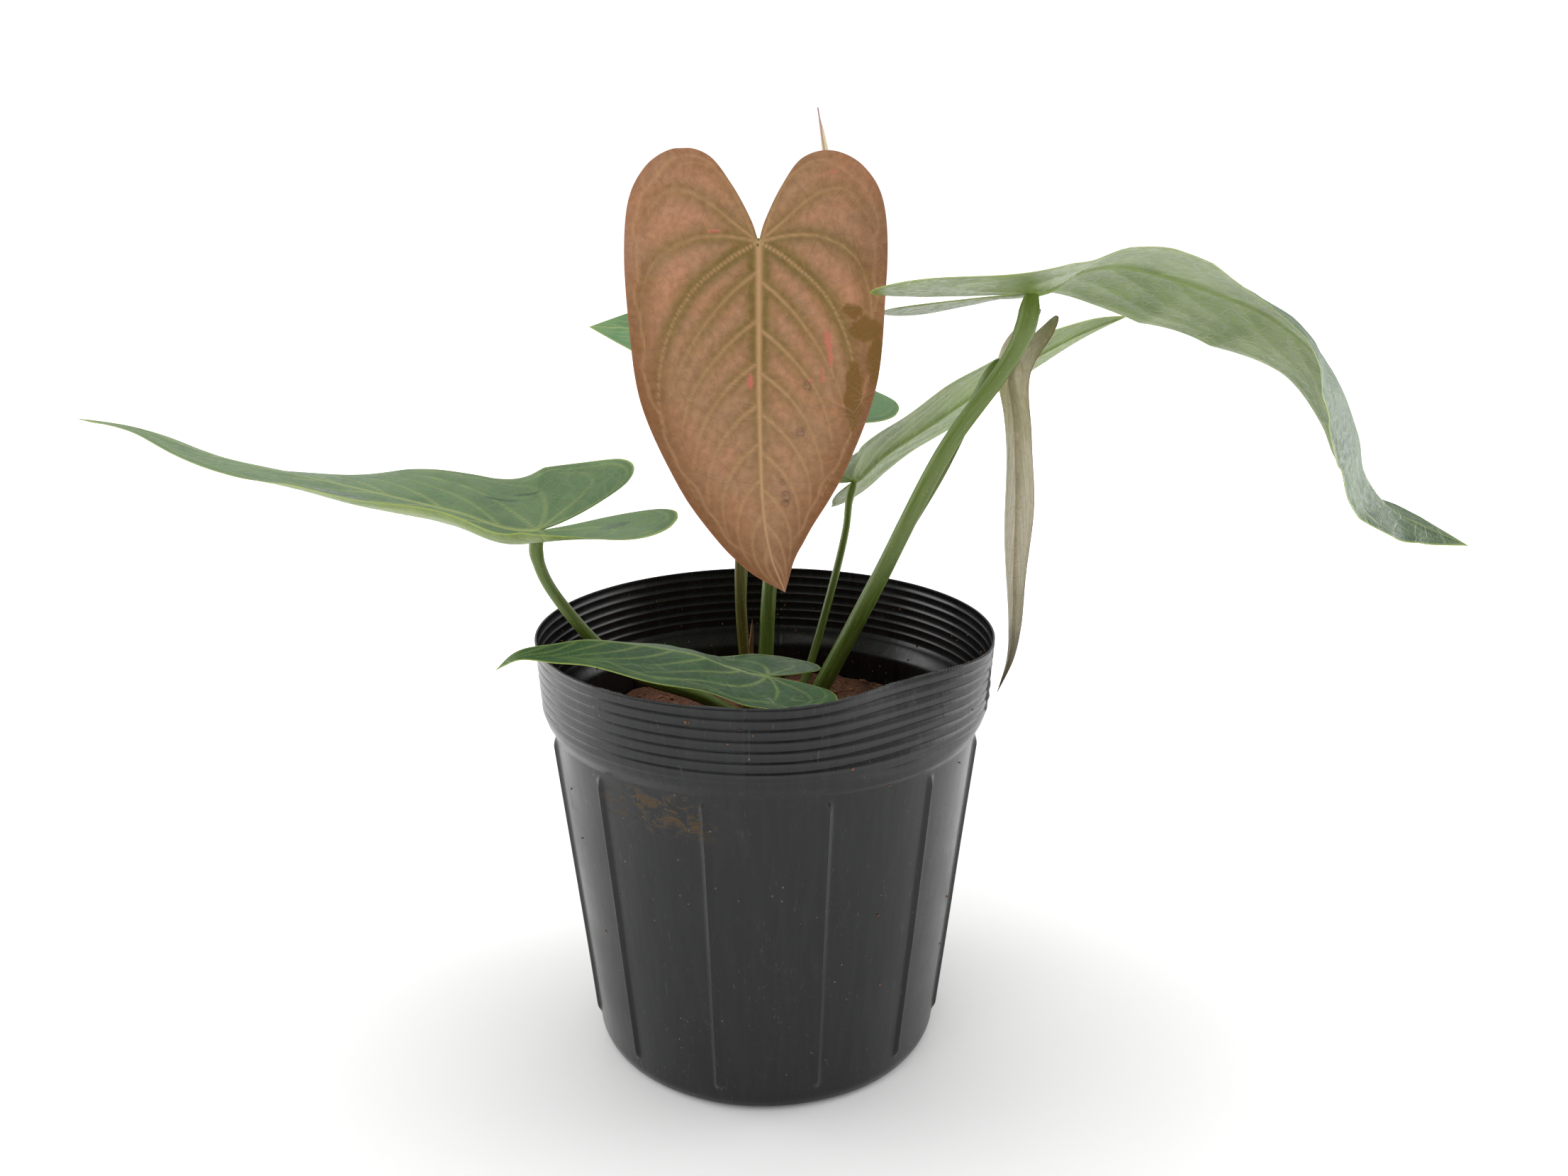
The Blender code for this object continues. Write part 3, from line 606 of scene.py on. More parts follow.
# ---------------------------------------------------------------- leaf blades
class Blade:
    """A leaf blade: flat coordinates along and across it, and their place in space."""

    def __init__(self, shape):
        self.shape = shape
        self.line = curve_through(shape["spine"], 400)
        run = np.concatenate([[0], np.cumsum(np.linalg.norm(np.diff(self.line, axis=0), axis=1))])
        junction = np.argmin(np.linalg.norm(self.line - np.array(shape["spine"][1], float), axis=1))
        self.along = run - run[junction]
        self.length = self.along[-1]
        self.lobe = -self.along[0]
        tangent = unit(np.gradient(self.line, self.along, axis=0))
        face = lookup(shape["face"], self.along / self.length)
        self.normal = unit(face - np.sum(face * tangent, axis=1, keepdims=True) * tangent)
        self.side = np.cross(self.normal, tangent)
        self.junction = self.line[junction]
        self.junction_normal = self.normal[junction]
        self.junction_tangent = tangent[junction]

    def flat(self, points, side):
        """Millimetres along and across for fractions like those of the outline."""
        reach = self.lobe * self.shape["lobes"][side]
        width = self.shape["widths"][side]
        return [(a * (reach if a < 0 else self.length), b * width) for a, b in points]

    def place(self, along, across, side):
        """Points in space, and the way the upper face looks there."""
        frame = []
        for table in (self.line, self.side, self.normal):
            frame.append(np.stack([np.interp(along, self.along, column) for column in table.T], axis=-1))
        point, sideways, upwards = frame[0], unit(frame[1]), unit(frame[2])
        fraction = along / self.length
        fold = np.radians(lookup(self.shape["fold"][side], fraction))
        curl = np.radians(lookup(self.shape["curl"][side], fraction))
        reach = (across / self.shape["widths"][side])[..., None]
        middle = (np.arange(24) + 0.5) / 24
        angle = fold + curl * (reach * middle) ** self.shape["bend"]
        outwards = across * np.cos(angle).mean(axis=-1)
        lift = across * np.sin(angle).mean(axis=-1)
        last = (fold + curl * reach ** self.shape["bend"])[..., 0]
        sign = 1 if side else -1
        facing = np.cos(last)[..., None] * upwards - sign * np.sin(last)[..., None] * sideways
        return point + sign * outwards[..., None] * sideways + lift[..., None] * upwards, facing


def vein_lines(blade, side):
    """(strength, points) of the veins of one half, in flat millimetres."""
    lines = [(strength, blade.flat(points, side)) for strength, points in BASAL_VEINS]
    half = np.array(HALF_OUTLINE)
    front = half[half[:, 0] > 0.1]
    for index, start in enumerate(LATERAL_STARTS):
        begin = start + (0.022 if side else -0.004)
        points = []
        for step in np.linspace(0, 1, 8):
            along = begin + (0.24 * step + 0.13 * step**2) * (1 - 0.55 * start)
            width = float(np.interp(along, front[:, 0], front[:, 1]))
            points.append((min(along, 0.995), width * (0.86 * step - 0.10 * step**2)))
        lines.append((0.85 - 0.05 * index, blade.flat(points, side)))
    return lines


def nearest(flat, line, count=70):
    """Distance from each flat point to a smooth line, and how far along the line that is (0 to 1)."""
    dense = curve_through(line, count)
    gaps = np.linalg.norm(flat[:, None, :] - dense[None, :, :], axis=2)
    index = gaps.argmin(axis=1)
    return gaps[np.arange(len(flat)), index], index / (count - 1)


def vein_fields(blade, side, along, across, margin):
    """(vein mask, which also sets the ridge height, and valley depth) of one half's grid."""
    flat = np.stack([along.ravel(), across.ravel()], axis=1)
    mask = np.zeros(len(flat))
    valley = np.zeros(len(flat))
    for strength, line in vein_lines(blade, side):
        gap, share = nearest(flat, line)
        width = 0.75 - 0.35 * share
        mask = np.maximum(mask, strength * (1 - 0.55 * share) * np.exp(-((gap / width) ** 2)))
        valley = np.maximum(valley, strength * (1 - 0.6 * share) * np.exp(-((gap / 4.5) ** 2)))
    share = np.clip(flat[:, 0] / blade.length, 0, 1)
    behind = np.where(flat[:, 0] < 0, np.exp(-((flat[:, 0] / 1.5) ** 2)), 1.0)
    midrib = 1.35 - 1.0 * share
    gap = flat[:, 1]
    mask = np.maximum(mask, behind * np.exp(-((gap / midrib) ** 2)))
    valley = np.maximum(valley, 1.2 * behind * (1 - 0.7 * share) * np.exp(-((gap / 5.5) ** 2)))
    inside = 4.6 + 0.9 * np.sin(flat[:, 0] * 0.21) + 0.5 * np.sin(flat[:, 0] * 0.47 + 1)
    collective = 0.38 * np.exp(-(((margin.ravel() - inside) / 0.55) ** 2))
    mask = np.maximum(mask, collective * np.clip((flat[:, 1] - 6) / 8, 0, 1))
    shape = along.shape
    return mask.reshape(shape), valley.reshape(shape)


def spots(flat, places):
    """A soft mask of ragged patches: (along, across, radius along, radius across) in millimetres."""
    mask = np.zeros(len(flat))
    for along, across, radius_along, radius_across in places:
        rough = 0.35 * bumps(np.column_stack([flat, np.zeros(len(flat))]), 0.28, along)
        offset = (flat - (along, across)) / (radius_along, radius_across)
        gap = np.hypot(offset[:, 0], offset[:, 1]) + rough
        mask = np.maximum(mask, np.clip((1.0 - gap) * 5, 0, 1))
    return mask


def make_blade(name, shape, finish, marks):
    """A thin closed blade with raised veins, quilting, a wavy edge and its colour masks."""
    blade = Blade(shape)
    rows, columns = shape["steps"]
    amplitude, waves, phase = shape["wave"]
    halves = []
    for side in (0, 1):
        rim = curve_through(blade.flat(HALF_OUTLINE, side), rows)
        foot = blade.length * np.linspace(0, 1, rows) ** 2.2
        part = np.linspace(0, 1, columns)
        along = foot[:, None] * (1 - part) + rim[:, :1] * part
        across = rim[:, 1:] * part
        span = np.hypot(rim[:, :1] - foot[:, None], rim[:, 1:])
        margin = span * (1 - part)
        point, facing = blade.place(along, across, side)
        mask, valley = vein_fields(blade, side, along, across, margin)
        fraction = along / blade.length
        reach = across / shape["widths"][side]
        ripple = amplitude * reach**2 * np.sin(2 * math.pi * (waves * fraction + phase) + 1.7 * side)
        ripple *= np.clip(margin / 400 + np.clip(1.02 - fraction, 0, 1) * 3, 0, 1)
        sink = -shape["quilt"] * valley * np.clip(1.0 - fraction, 0, 1)
        signed = across * (1 if side else -1)
        halves.append(dict(point=point, facing=facing, mask=mask, valley=valley, lift=ripple + sink,
                           margin=margin, along=along, signed=signed, fraction=fraction))
    joined = {}
    for key in halves[0]:
        joined[key] = np.concatenate([halves[0][key][:, ::-1], halves[1][key][:, 1:]], axis=1)
    wide = 2 * columns - 1
    thin = np.clip(joined["margin"] / 3.0, 0, 1)
    share = np.clip(joined["fraction"], 0, 1)
    keel = np.exp(-((joined["signed"] / (1.7 - 1.2 * share)) ** 2)) * (1.2 - 1.0 * share)
    keel *= joined["along"] > -1
    half_thick = MARGIN_HALF_THICKNESS + INNER_EXTRA_THICKNESS * thin
    rise = joined["lift"] + half_thick + VEIN_RISE * joined["mask"] * thin
    fall = joined["lift"] - half_thick - (VEIN_DROP * joined["mask"] + keel) * thin
    top = joined["point"] + joined["facing"] * rise[..., None]
    low = joined["point"] + joined["facing"] * fall[..., None]
    count = rows * wide
    points = np.vstack([top.reshape(-1, 3), low.reshape(-1, 3)])
    faces = shell_faces(rows, wide)
    flat = np.column_stack([joined["along"].ravel(), joined["signed"].ravel()])
    edge = np.clip(1 - joined["margin"].ravel() / marks["edge_width"], 0, 1) * marks["edge"]
    towards_tip = share.ravel()
    golden = np.clip(joined["valley"].ravel() * marks["gold"] * np.clip(1.25 - towards_tip, 0, 1), 0, 1)
    outer = np.clip(1 - joined["margin"].ravel() / 16, 0, 1) * np.clip(0.35 + towards_tip * 1.6, 0, 1)
    dark = np.clip(outer * marks["dark"], 0, 1)
    scar = spots(flat, marks["scars"])
    wet = spots(flat, marks["wet"])
    zeros = np.zeros(count)
    attributes = {
        "flat": np.tile(np.column_stack([flat, zeros]), (2, 1)),
        "vein": np.tile(joined["mask"].ravel(), 2),
        "under": np.concatenate([zeros, zeros + 1]),
        "edge": np.tile(edge, 2),
        "gold": np.concatenate([golden, zeros]),
        "dark": np.concatenate([dark, zeros]),
        "scar": np.concatenate([scar, zeros]),
        "wet": np.concatenate([wet, zeros]),
    }
    add_piece("blade_" + name, points, faces, finish, ["leaf_" + name], attributes, 70, 0.002)
    return blade


LEAF_MARKS = dict(edge=0.75, edge_width=0.8, gold=0.0, dark=0.0, scars=[], wet=[])
MARKS = {
    "copper": dict(LEAF_MARKS, edge=0.6, edge_width=0.7, gold=1.25, dark=0.95,
                   scars=[(54, -3.5, 3.2, 1.3), (54, 20, 1.0, 1.6), (44, 28, 6, 0.9), (38, 27, 4, 1.3),
                          (52, 25, 3.5, 0.7), (-25, 30, 0.6, 2), (-4, -17, 0.7, 3)],
                   wet=[(34, 42, 5, 7), (27, 37, 3, 5), (60, 37, 14, 4), (46, 46, 10, 4)]),
    "left": dict(LEAF_MARKS, edge_width=1.0,
                 wet=[(20, -22, 9, 1.6), (8, -27, 8, 1.4), (-34, 20, 7, 3), (80, 15, 14, 4)]),
    "right": dict(LEAF_MARKS, edge_width=1.1),
    "rear": dict(LEAF_MARKS, wet=[(-18, 26, 1.5, 2), (-24, 18, 1.2, 1.8), (-20, 8, 2, 1.2)]),
    "right_rear": dict(LEAF_MARKS, scars=[(52, 12, 0.5, 0.5), (60, 17, 0.5, 0.6), (66, 9, 0.4, 0.5)]),
    "hanging": dict(LEAF_MARKS, edge=0.9, edge_width=0.7),
    "front": dict(LEAF_MARKS, wet=[(52, 16, 8, 2.0), (6, 22, 4, 2.5), (-8, 20, 4, 3)],
                  scars=[(16, -2, 8, 0.5)]),
}


def make_leaves():
    copper = leaf_finish("copper_leaf", dict(
        upper_a=(0.46, 0.225, 0.120), upper_b=(0.42, 0.225, 0.125), gold=(0.19, 0.125, 0.030),
        dark=(0.20, 0.080, 0.022), lower_a=(0.30, 0.20, 0.11), lower_b=(0.36, 0.22, 0.13),
        vein=(0.55, 0.32, 0.16), edge=(0.36, 0.14, 0.08), net=(0.22, 0.10, 0.045),
        scar=(0.50, 0.16, 0.10), wet=(0.20, 0.105, 0.03)), 0.36, 0.15)
    grey_green = dict(
        upper_a=(0.068, 0.140, 0.040), upper_b=(0.100, 0.182, 0.058), gold=(0.2, 0.25, 0.07),
        dark=(0.03, 0.07, 0.02), lower_a=(0.175, 0.245, 0.060), lower_b=(0.230, 0.30, 0.085),
        vein=(0.30, 0.36, 0.10), edge=(0.36, 0.44, 0.08), net=(0.14, 0.21, 0.10),
        scar=(0.55, 0.58, 0.50), wet=(0.035, 0.09, 0.022))
    deep_green = dict(grey_green, upper_a=(0.016, 0.058, 0.014), upper_b=(0.030, 0.088, 0.020),
                      net=(0.06, 0.12, 0.045), vein=(0.22, 0.30, 0.08))
    long_green = dict(grey_green, upper_a=(0.018, 0.062, 0.016), upper_b=(0.032, 0.092, 0.026),
                      lower_a=(0.105, 0.160, 0.026), lower_b=(0.160, 0.225, 0.048),
                      vein=(0.20, 0.27, 0.055), net=(0.20, 0.26, 0.12))
    bright_green = dict(grey_green, upper_a=(0.060, 0.180, 0.050), upper_b=(0.090, 0.230, 0.070))
    pinkish = dict(grey_green, lower_a=(0.42, 0.385, 0.22), lower_b=(0.50, 0.44, 0.28),
                   vein=(0.34, 0.27, 0.16), edge=(0.20, 0.08, 0.045), net=(0.30, 0.22, 0.15))
    tones = {"left": grey_green, "right": long_green, "rear": bright_green, "right_rear": long_green,
             "hanging": pinkish, "front": deep_green}
    blades = {}
    for name, shape in LEAVES.items():
        if name == "copper":
            blades[name] = make_blade(name, shape, copper, MARKS[name])
        else:
            finish = leaf_finish("leaf_" + name, tones[name], 0.38, 0.3)
            blades[name] = make_blade(name, shape, finish, MARKS[name])
    return blades


# ---------------------------------------------------------------- stalks
def tube(name, line, radii, finish, nodes, ridge=0.0, groove=0.0, sides=20):
    """A stalk along dense points, with an optional ridge or groove along it and capped ends."""
    count = len(line)
    tangent = unit(np.gradient(line, axis=0))
    run = np.concatenate([[0], np.cumsum(np.linalg.norm(np.diff(line, axis=0), axis=1))])
    sideways = np.cross(tangent[0], (0.0, 1.0, 0.1))
    vertices = []
    flat = []
    along = []
    for index in range(count):
        sideways = unit(sideways - np.dot(sideways, tangent[index]) * tangent[index])
        upwards = np.cross(tangent[index], sideways)
        wobble = 1 + 0.02 * noise.noise(Vector((run[index] * 0.09, 3.1, len(name))))
        for step in range(sides):
            turn = 2 * math.pi * step / sides
            radius = radii[index] * wobble
            radius *= 1 + ridge * math.exp(-(((turn - 0.6 * math.pi) / 0.35) ** 2))
            radius *= 1 - groove * math.exp(-(((turn - math.pi / 2) / 0.45) ** 2))
            vertices.append(line[index] + radius * (math.cos(turn) * sideways + math.sin(turn) * upwards))
            flat.append((turn * radii[index], run[index], 0.0))
            along.append(run[index] / run[-1])
    faces = capped_faces(count, sides)
    return add_piece(name, vertices, faces, finish, nodes, {"flat": flat, "along": along}, 60)


def crown_side(azimuth, radius, sink):
    turn = math.radians(azimuth)
    reach = CROWN_RADIUS + 1.25 * radius + 0.6 - sink
    return around(CROWN_CENTRE, reach, turn, MIX_CROWN + 1.0)


def make_petioles(blades):
    olive = stalk_finish("petiole_olive", (0.105, 0.085, 0.012), (0.11, 0.12, 0.02), (0.17, 0.17, 0.045))
    green = stalk_finish("petiole_green", (0.085, 0.135, 0.012), (0.115, 0.175, 0.02), (0.18, 0.24, 0.06))
    for name, (azimuth, radius, points) in PETIOLES.items():
        blade = blades[name]
        end = blade.junction - 0.7 * blade.junction_normal + 0.4 * blade.junction_tangent
        line = curve_through([crown_side(azimuth, radius, 1.6), *points, tuple(end)], 90)
        place = np.linspace(0, 1, 90)
        keys = [(0, 1.45), (0.03, 1.3), (0.09, 1.0), (0.84, 0.86), (0.90, 0.92), (0.93, 1.08)]
        keys += [(0.97, 1.05), (1, 0.62)]
        radii = radius * lookup(keys, place)[:, 0]
        tube("stalk_" + name, line, radii, olive if name == "copper" else green,
             ["petiole_" + name], ridge=0.22 if name == "rear" else 0.05, groove=0.10)
    azimuth, radius, points = PEDUNCLE
    top = (SPATHE_BASE[0] + 0.2, SPATHE_BASE[1], SPATHE_BASE[2] + 1.0)
    line = curve_through([crown_side(azimuth, radius, 1.4), *points, top], 90)
    radii = radius * lookup([(0, 1.4), (0.08, 1.0), (1, 0.95)], np.linspace(0, 1, 90))[:, 0]
    tube("flower_stalk", line, radii, green, ["peduncle"])


def make_crown():
    """The short stem with the rings of old leaf scars."""
    finish = coir_finish("crown_bark", (0.075, 0.06, 0.02), (0.21, 0.18, 0.07), 500.0)
    rows, columns = 40, 48
    points = []
    for row in range(rows):
        share = row / (rows - 1)
        height = CROWN_BOTTOM + (CROWN_TOP - CROWN_BOTTOM - 0.4) * share
        radius = CROWN_RADIUS * (0.95 - 0.55 * max(0.0, share - 0.72) ** 1.5 / 0.28**1.5 * 0.9)
        radius *= 1 - 0.05 * abs(math.sin(share * math.pi * 6))
        for column in range(columns):
            turn = 2 * math.pi * column / columns
            points.append(around(CROWN_CENTRE, radius, turn, height))
    points = np.array(points)
    centre = np.array((*CROWN_CENTRE, 0.0))
    outwards = unit((points - centre) * (1, 1, 0))
    points = points + outwards * (0.35 * bumps(points, 0.45))[:, None]
    faces = capped_faces(rows, columns)
    add_piece("crown_stem", points, faces, finish, ["crown"])


def make_cataphyll():
    finish = papery_finish("dry_cataphyll", (0.22, 0.085, 0.045), (0.36, 0.18, 0.10))
    rows, columns = 40, 13
    points, flat, edge = [], [], []
    for row in range(rows):
        share = row / (rows - 1)
        half = 2.5 * (1 - share**2.2) + 0.25
        for column in range(columns):
            across = 2 * column / (columns - 1) - 1
            curve = 1.0 * (1 - across**2)
            x = -8.0 + 1.5 * share + 0.8 * half * across + 0.25 * math.sin(9 * share)
            y = 28.0 + share + 0.6 * half * across - curve
            points.append((x, y, MIX_CROWN + 1.0 + 41.5 * share + 1.2 * across * share))
            flat.append((half * across, 41.0 * share, 0))
            edge.append(abs(across) ** 6 * 0.6 + 0.5 * max(0.0, share - 0.8) / 0.2)
    points = np.array(points + [(x + 0.12, y + 0.25, z) for x, y, z in points])
    faces = shell_faces(rows, columns)
    add_piece("dry_sheath_leaf", points, faces, finish, ["cataphyll"],
              {"flat": flat * 2, "edge": edge * 2})


def make_inflorescence():
    rows, columns = 70, 31
    base, tip = np.array(SPATHE_BASE), np.array(SPATHE_TIP)
    points, flat, edge, along = [], [], [], []
    for row in range(rows):
        share = row / (rows - 1)
        middle = base + (tip - base) * share + np.array((3.0 * math.sin(math.pi * share), 0, 0))
        swell = math.sin(math.pi * min(share + 0.06, 1.0)) ** 0.8
        width = SPATHE_HALF_WIDTH * swell * (1 - 0.35 * share) + 0.25
        for column in range(columns):
            across = 2 * column / (columns - 1) - 1
            hollow = 0.30 * width * (1 - across**2) + 0.12 * math.sin(14 * share) * across**2
            rib = 0.08 * math.cos(across * 22)
            points.append(middle + np.array((hollow + 1.6 + rib, width * across, 0.0)))
            flat.append((width * across, 61 * share, 0))
            edge.append(abs(across) ** 10)
            along.append(max(0.0, (share - 0.80) / 0.20) ** 1.2)
    points = np.array(points)
    back = points + np.array((0.34, 0, 0))
    faces = shell_faces(rows, columns)
    attributes = {"flat": flat * 2, "edge": edge * 2, "along": along * 2}
    add_piece("spathe_hood", np.vstack([points, back]), faces, spathe_finish(),
              ["spathe"], attributes, 70)
    rows, columns = 90, 36
    foot = (SPATHE_BASE[0] - 0.8, SPATHE_BASE[1])
    taper = [(0, 0.8), (0.05, 1.0), (0.8, 0.84), (0.95, 0.55), (1, 0.15)]
    points = []
    for row in range(rows):
        share = row / (rows - 1)
        radius = SPADIX_RADIUS * float(lookup(taper, share)[0])
        for column in range(columns):
            turn = 2 * math.pi * column / columns
            bead = 0.09 * math.sin(turn * 9 + row * 0.7) * math.sin(row * 0.7 - turn * 5)
            reach = radius + bead * min(1.0, radius)
            points.append(around(foot, reach, turn, SPATHE_BASE[2] + SPADIX_HEIGHT * share))
    faces = capped_faces(rows, columns)
    add_piece("spadix_flowers", points, faces, spadix_finish(), ["spadix"])


# ---------------------------------------------------------------- pot
def wall_radius(height):
    heights = [0.0, 1.4, BASE_CORNER, WALL_TOP, 156.0, BAND_BOTTOM, POT_HEIGHT]
    radii = [BASE_RADIUS - BASE_CORNER, BASE_RADIUS - 1.4, BASE_RADIUS, WALL_TOP_RADIUS, 96.8,
             BAND_BOTTOM_RADIUS, RIM_RADIUS]
    return float(np.interp(height, heights, radii))


def turn_between(azimuth, other):
    """The smaller angle between two directions round the pot."""
    return abs((azimuth - other + math.pi) % (2 * math.pi) - math.pi)


def dent(height, azimuth):
    away = turn_between(azimuth, DENT_AZIMUTH) / DENT_HALF_WIDTH
    if away >= 1:
        return 0.0
    share = float(np.interp(height, [153.0, BAND_BOTTOM, POT_HEIGHT], [0.0, 0.3, 1.0]))
    return DENT_DEPTH * share * math.cos(0.5 * math.pi * away) ** 2


def rib_shape(height, azimuth):
    """How far the skin stands out on a rib, with rounded ends."""
    pitch = 2 * math.pi / RIB_COUNT
    away = abs((azimuth % pitch) - pitch / 2) * wall_radius(height) / RIB_HALF_WIDTH
    ends = min(1.0, max(0.0, (height - RIB_BOTTOM + 2) / 4))
    ends *= min(1.0, max(0.0, (RIB_TOP + 2 - height) / 5))
    return RIB_HEIGHT * math.exp(-(away**2) * 1.3) * math.sin(0.5 * math.pi * ends)


def seam_shape(height, azimuth):
    """The thin parting line at the front and at the back."""
    away = min(turn_between(azimuth, SEAM_AZIMUTH - shift * math.pi) for shift in (0, 1))
    return 0.28 * math.exp(-((away * 90 / 0.45) ** 2)) * (0.25 if height < WALL_TOP else 1.0)


def ring_shape(height):
    pitch = (POT_HEIGHT - BAND_BOTTOM) / RING_COUNT
    share = (height - BAND_BOTTOM) / pitch % 1.0
    if height < BAND_BOTTOM - 0.01 or height > POT_HEIGHT - 0.6:
        return 0.0
    return 0.55 * math.sin(math.pi * share) ** 0.6 - 0.15


def pot_azimuths():
    """Denser on the ribs and on the seams."""
    pitch = 2 * math.pi / RIB_COUNT
    angles = []
    for index in range(RIB_COUNT):
        middle = (index + 0.5) * pitch
        angles += list(middle + np.linspace(-0.034, 0.034, 11))
        angles += list(middle + np.linspace(0.034, pitch - 0.034, 25)[1:-1])
    for shift in (0, math.pi):
        angles += list((SEAM_AZIMUTH + shift + np.linspace(-0.012, 0.012, 7)) % (2 * math.pi))
    return sorted(angle % (2 * math.pi) for angle in angles)


def make_pot(finish):
    angles = pot_azimuths()
    pitch = (POT_HEIGHT - BAND_BOTTOM) / RING_COUNT
    outer = [0.0, 0.35, 0.9, 1.7, 2.8, 4.0, 5.2, 7.0]
    for bottom, top, count in ((9, 18, 10), (22, 138, 16), (141, 158.6, 22)):
        outer += list(np.linspace(bottom, top, count))
    outer += [BAND_BOTTOM + pitch * ring + pitch * part
              for ring in range(RING_COUNT) for part in (0.0, 0.07, 0.18, 0.34, 0.5, 0.66, 0.82, 0.93)]
    outer = [height for height in outer if height < POT_HEIGHT - 0.5] + [POT_HEIGHT - 0.4, POT_HEIGHT]
    inner = [POT_HEIGHT - 0.4]
    inner += [BAND_BOTTOM + pitch * ring + pitch * part
              for ring in reversed(range(RING_COUNT)) for part in (0.9, 0.75, 0.5, 0.25, 0.1, 0.0)]
    inner += list(np.linspace(158, 136, 16)) + [120.0, 60.0, 12.0, 5.0, 1.4]
    rows = [(0.0, 40.0, 0.0)]
    rows += [(height, None, 0.0) for height in outer]
    rows += [(height, None, WALL_THICKNESS) for height in inner]
    rows += [(1.1, 72.0, 0.0), (1.1, 40.0, 0.0)]
    points = []
    for height, fixed, inset in rows:
        for azimuth in angles:
            if fixed is not None:
                radius = fixed
            else:
                radius = wall_radius(height) - inset - dent(height, azimuth) + ring_shape(height)
                radius += seam_shape(height, azimuth)
                if height < WALL_TOP:
                    radius += rib_shape(height, azimuth)
                    radius += 0.35 * noise.noise(Vector(around((0, 0), 2.2, azimuth, height * 0.018)))
                radius = min(radius, SKIN_LIMIT)
            if height == 0.0:
                radius = min(radius, 74.0)
            points.append(around((0, 0), radius, azimuth, height))
    count = len(angles)
    faces = capped_faces(len(rows), count)
    return add_piece("pot_shell", points, faces, finish, ["nursery_pot"], angle=60)


def make_rim_edge(finish):
    """The thin crimped lip, torn and wavy at the front."""
    count = LIP_TEETH * 3
    profile = [(-0.55, -0.5), (-0.5, 0.0), (-0.1, 0.1), (0.0, 0.0), (0.0, -0.35), (-0.3, -0.6)]
    rows = len(profile)
    points = []
    for row, ring in enumerate(profile):
        for index in range(count):
            azimuth = 2 * math.pi * index / count
            front = max(0.0, -math.sin(azimuth)) ** 2
            tooth = 0.5 + 0.5 * math.cos(2 * math.pi * index / 3)
            torn = noise.noise(Vector((azimuth * 9, 1.7, 0.3)))
            torn += 0.5 * noise.noise(Vector((azimuth * 31, 4.7, 0.3)))
            out = (0.25 + 0.45 * tooth) * (1 - 0.6 * front)
            up = 0.15 * tooth + 0.55 * front * torn
            radius = RIM_RADIUS - 0.05 - dent(POT_HEIGHT, azimuth)
            shift = out if row in (2, 3, 4) else 0.0
            shift = min(shift, SKIN_LIMIT - radius)
            height = POT_HEIGHT - 0.2 + ring[1] + (up if row in (1, 2, 3) else 0.0)
            points.append(around((0, 0), radius + ring[0] + shift, azimuth, height))
    faces = grid_faces(rows, count, True)
    low = (rows - 1) * count
    for index in range(count):
        after = (index + 1) % count
        faces.append((low + index, low + after, after, index))
    add_piece("pot_rim_lip", points, faces, finish, angle=35)


def make_fin(finish):
    """The sharp fold of thin plastic that stands where the dented rim turns round again."""
    rows, columns = 30, 4
    points = []
    for side in (-1, 1):
        for row in range(rows):
            share = row / (rows - 1)
            height = 162.0 + 27.5 * share
            for column in range(columns):
                part = column / (columns - 1)
                bulge = 1.6 * math.sin(math.pi * min(1.0, share + 0.12)) ** 0.6
                reach = (bulge + 0.25 * math.sin(31 * share)) * part
                radius = wall_radius(height) - dent(height, FIN_AZIMUTH) - 0.3 + reach
                turn = FIN_AZIMUTH + side * (0.0032 * (1 - 0.7 * part)) + 0.02 * part
                radius = min(radius, SKIN_LIMIT)
                points.append(around((0, 0), radius, turn, height))
    faces = shell_faces(rows, columns)
    add_piece("pot_rim_fold", points, faces, finish, angle=40)


# ---------------------------------------------------------------- growing mix
def mix_height(x, y):
    spread = min(math.hypot(x, y) / WALL_TOP_RADIUS, 1.0)
    lumps = 0.9 * math.sin(0.11 * x + 0.6) * math.cos(0.13 * y) + 0.6 * math.sin(0.23 * y - 0.17 * x)
    return MIX_EDGE + (MIX_CROWN - MIX_EDGE) * (1 - spread**2) + lumps * min(1.0, 4 * (1 - spread) + 0.3)


def mix_top(x, y):
    rough = 0.0
    for height, scale, seed in ((1.1, 0.16, 0.4), (0.8, 0.45, 2.4), (0.4, 1.3, 5.0)):
        rough += height * noise.noise(Vector((x * scale, y * scale, seed)))
    return mix_height(x, y) + rough


def make_mix():
    finish = coir_finish("coir_mix", (0.085, 0.032, 0.018), (0.23, 0.095, 0.05), 700.0)
    columns = 220
    radii = [88.5, 90.2, 91.2] + list(np.linspace(90.6, 1.0, 90))
    points = []
    for row, radius in enumerate(radii):
        for column in range(columns):
            turn = 2 * math.pi * column / columns
            x, y = radius * math.cos(turn), radius * math.sin(turn)
            height = (110.0, 124.0, 134.5)[row] if row < 3 else mix_top(x, y)
            points.append((x, y, height))
    faces = capped_faces(len(radii), columns)
    add_piece("coir_bed", points, faces, finish, ["growing_mix"], angle=80)


def chip_points(centre, size, tilt, seed):
    """One angular chip: a squashed block with broken corners."""
    corners, faces = ball("icosphere", subdivisions=1)
    generator = random.Random(seed)
    turn = generator.uniform(0, 2 * math.pi)
    placed = []
    for corner in corners:
        shaped = np.sign(corner) * np.abs(corner) ** 0.7 * size * generator.uniform(0.75, 1.0)
        x = shaped[0] * math.cos(turn) - shaped[1] * math.sin(turn)
        y = shaped[0] * math.sin(turn) + shaped[1] * math.cos(turn)
        placed.append((centre[0] + x, centre[1] + y, centre[2] + shaped[2] + tilt * x))
    return placed, faces


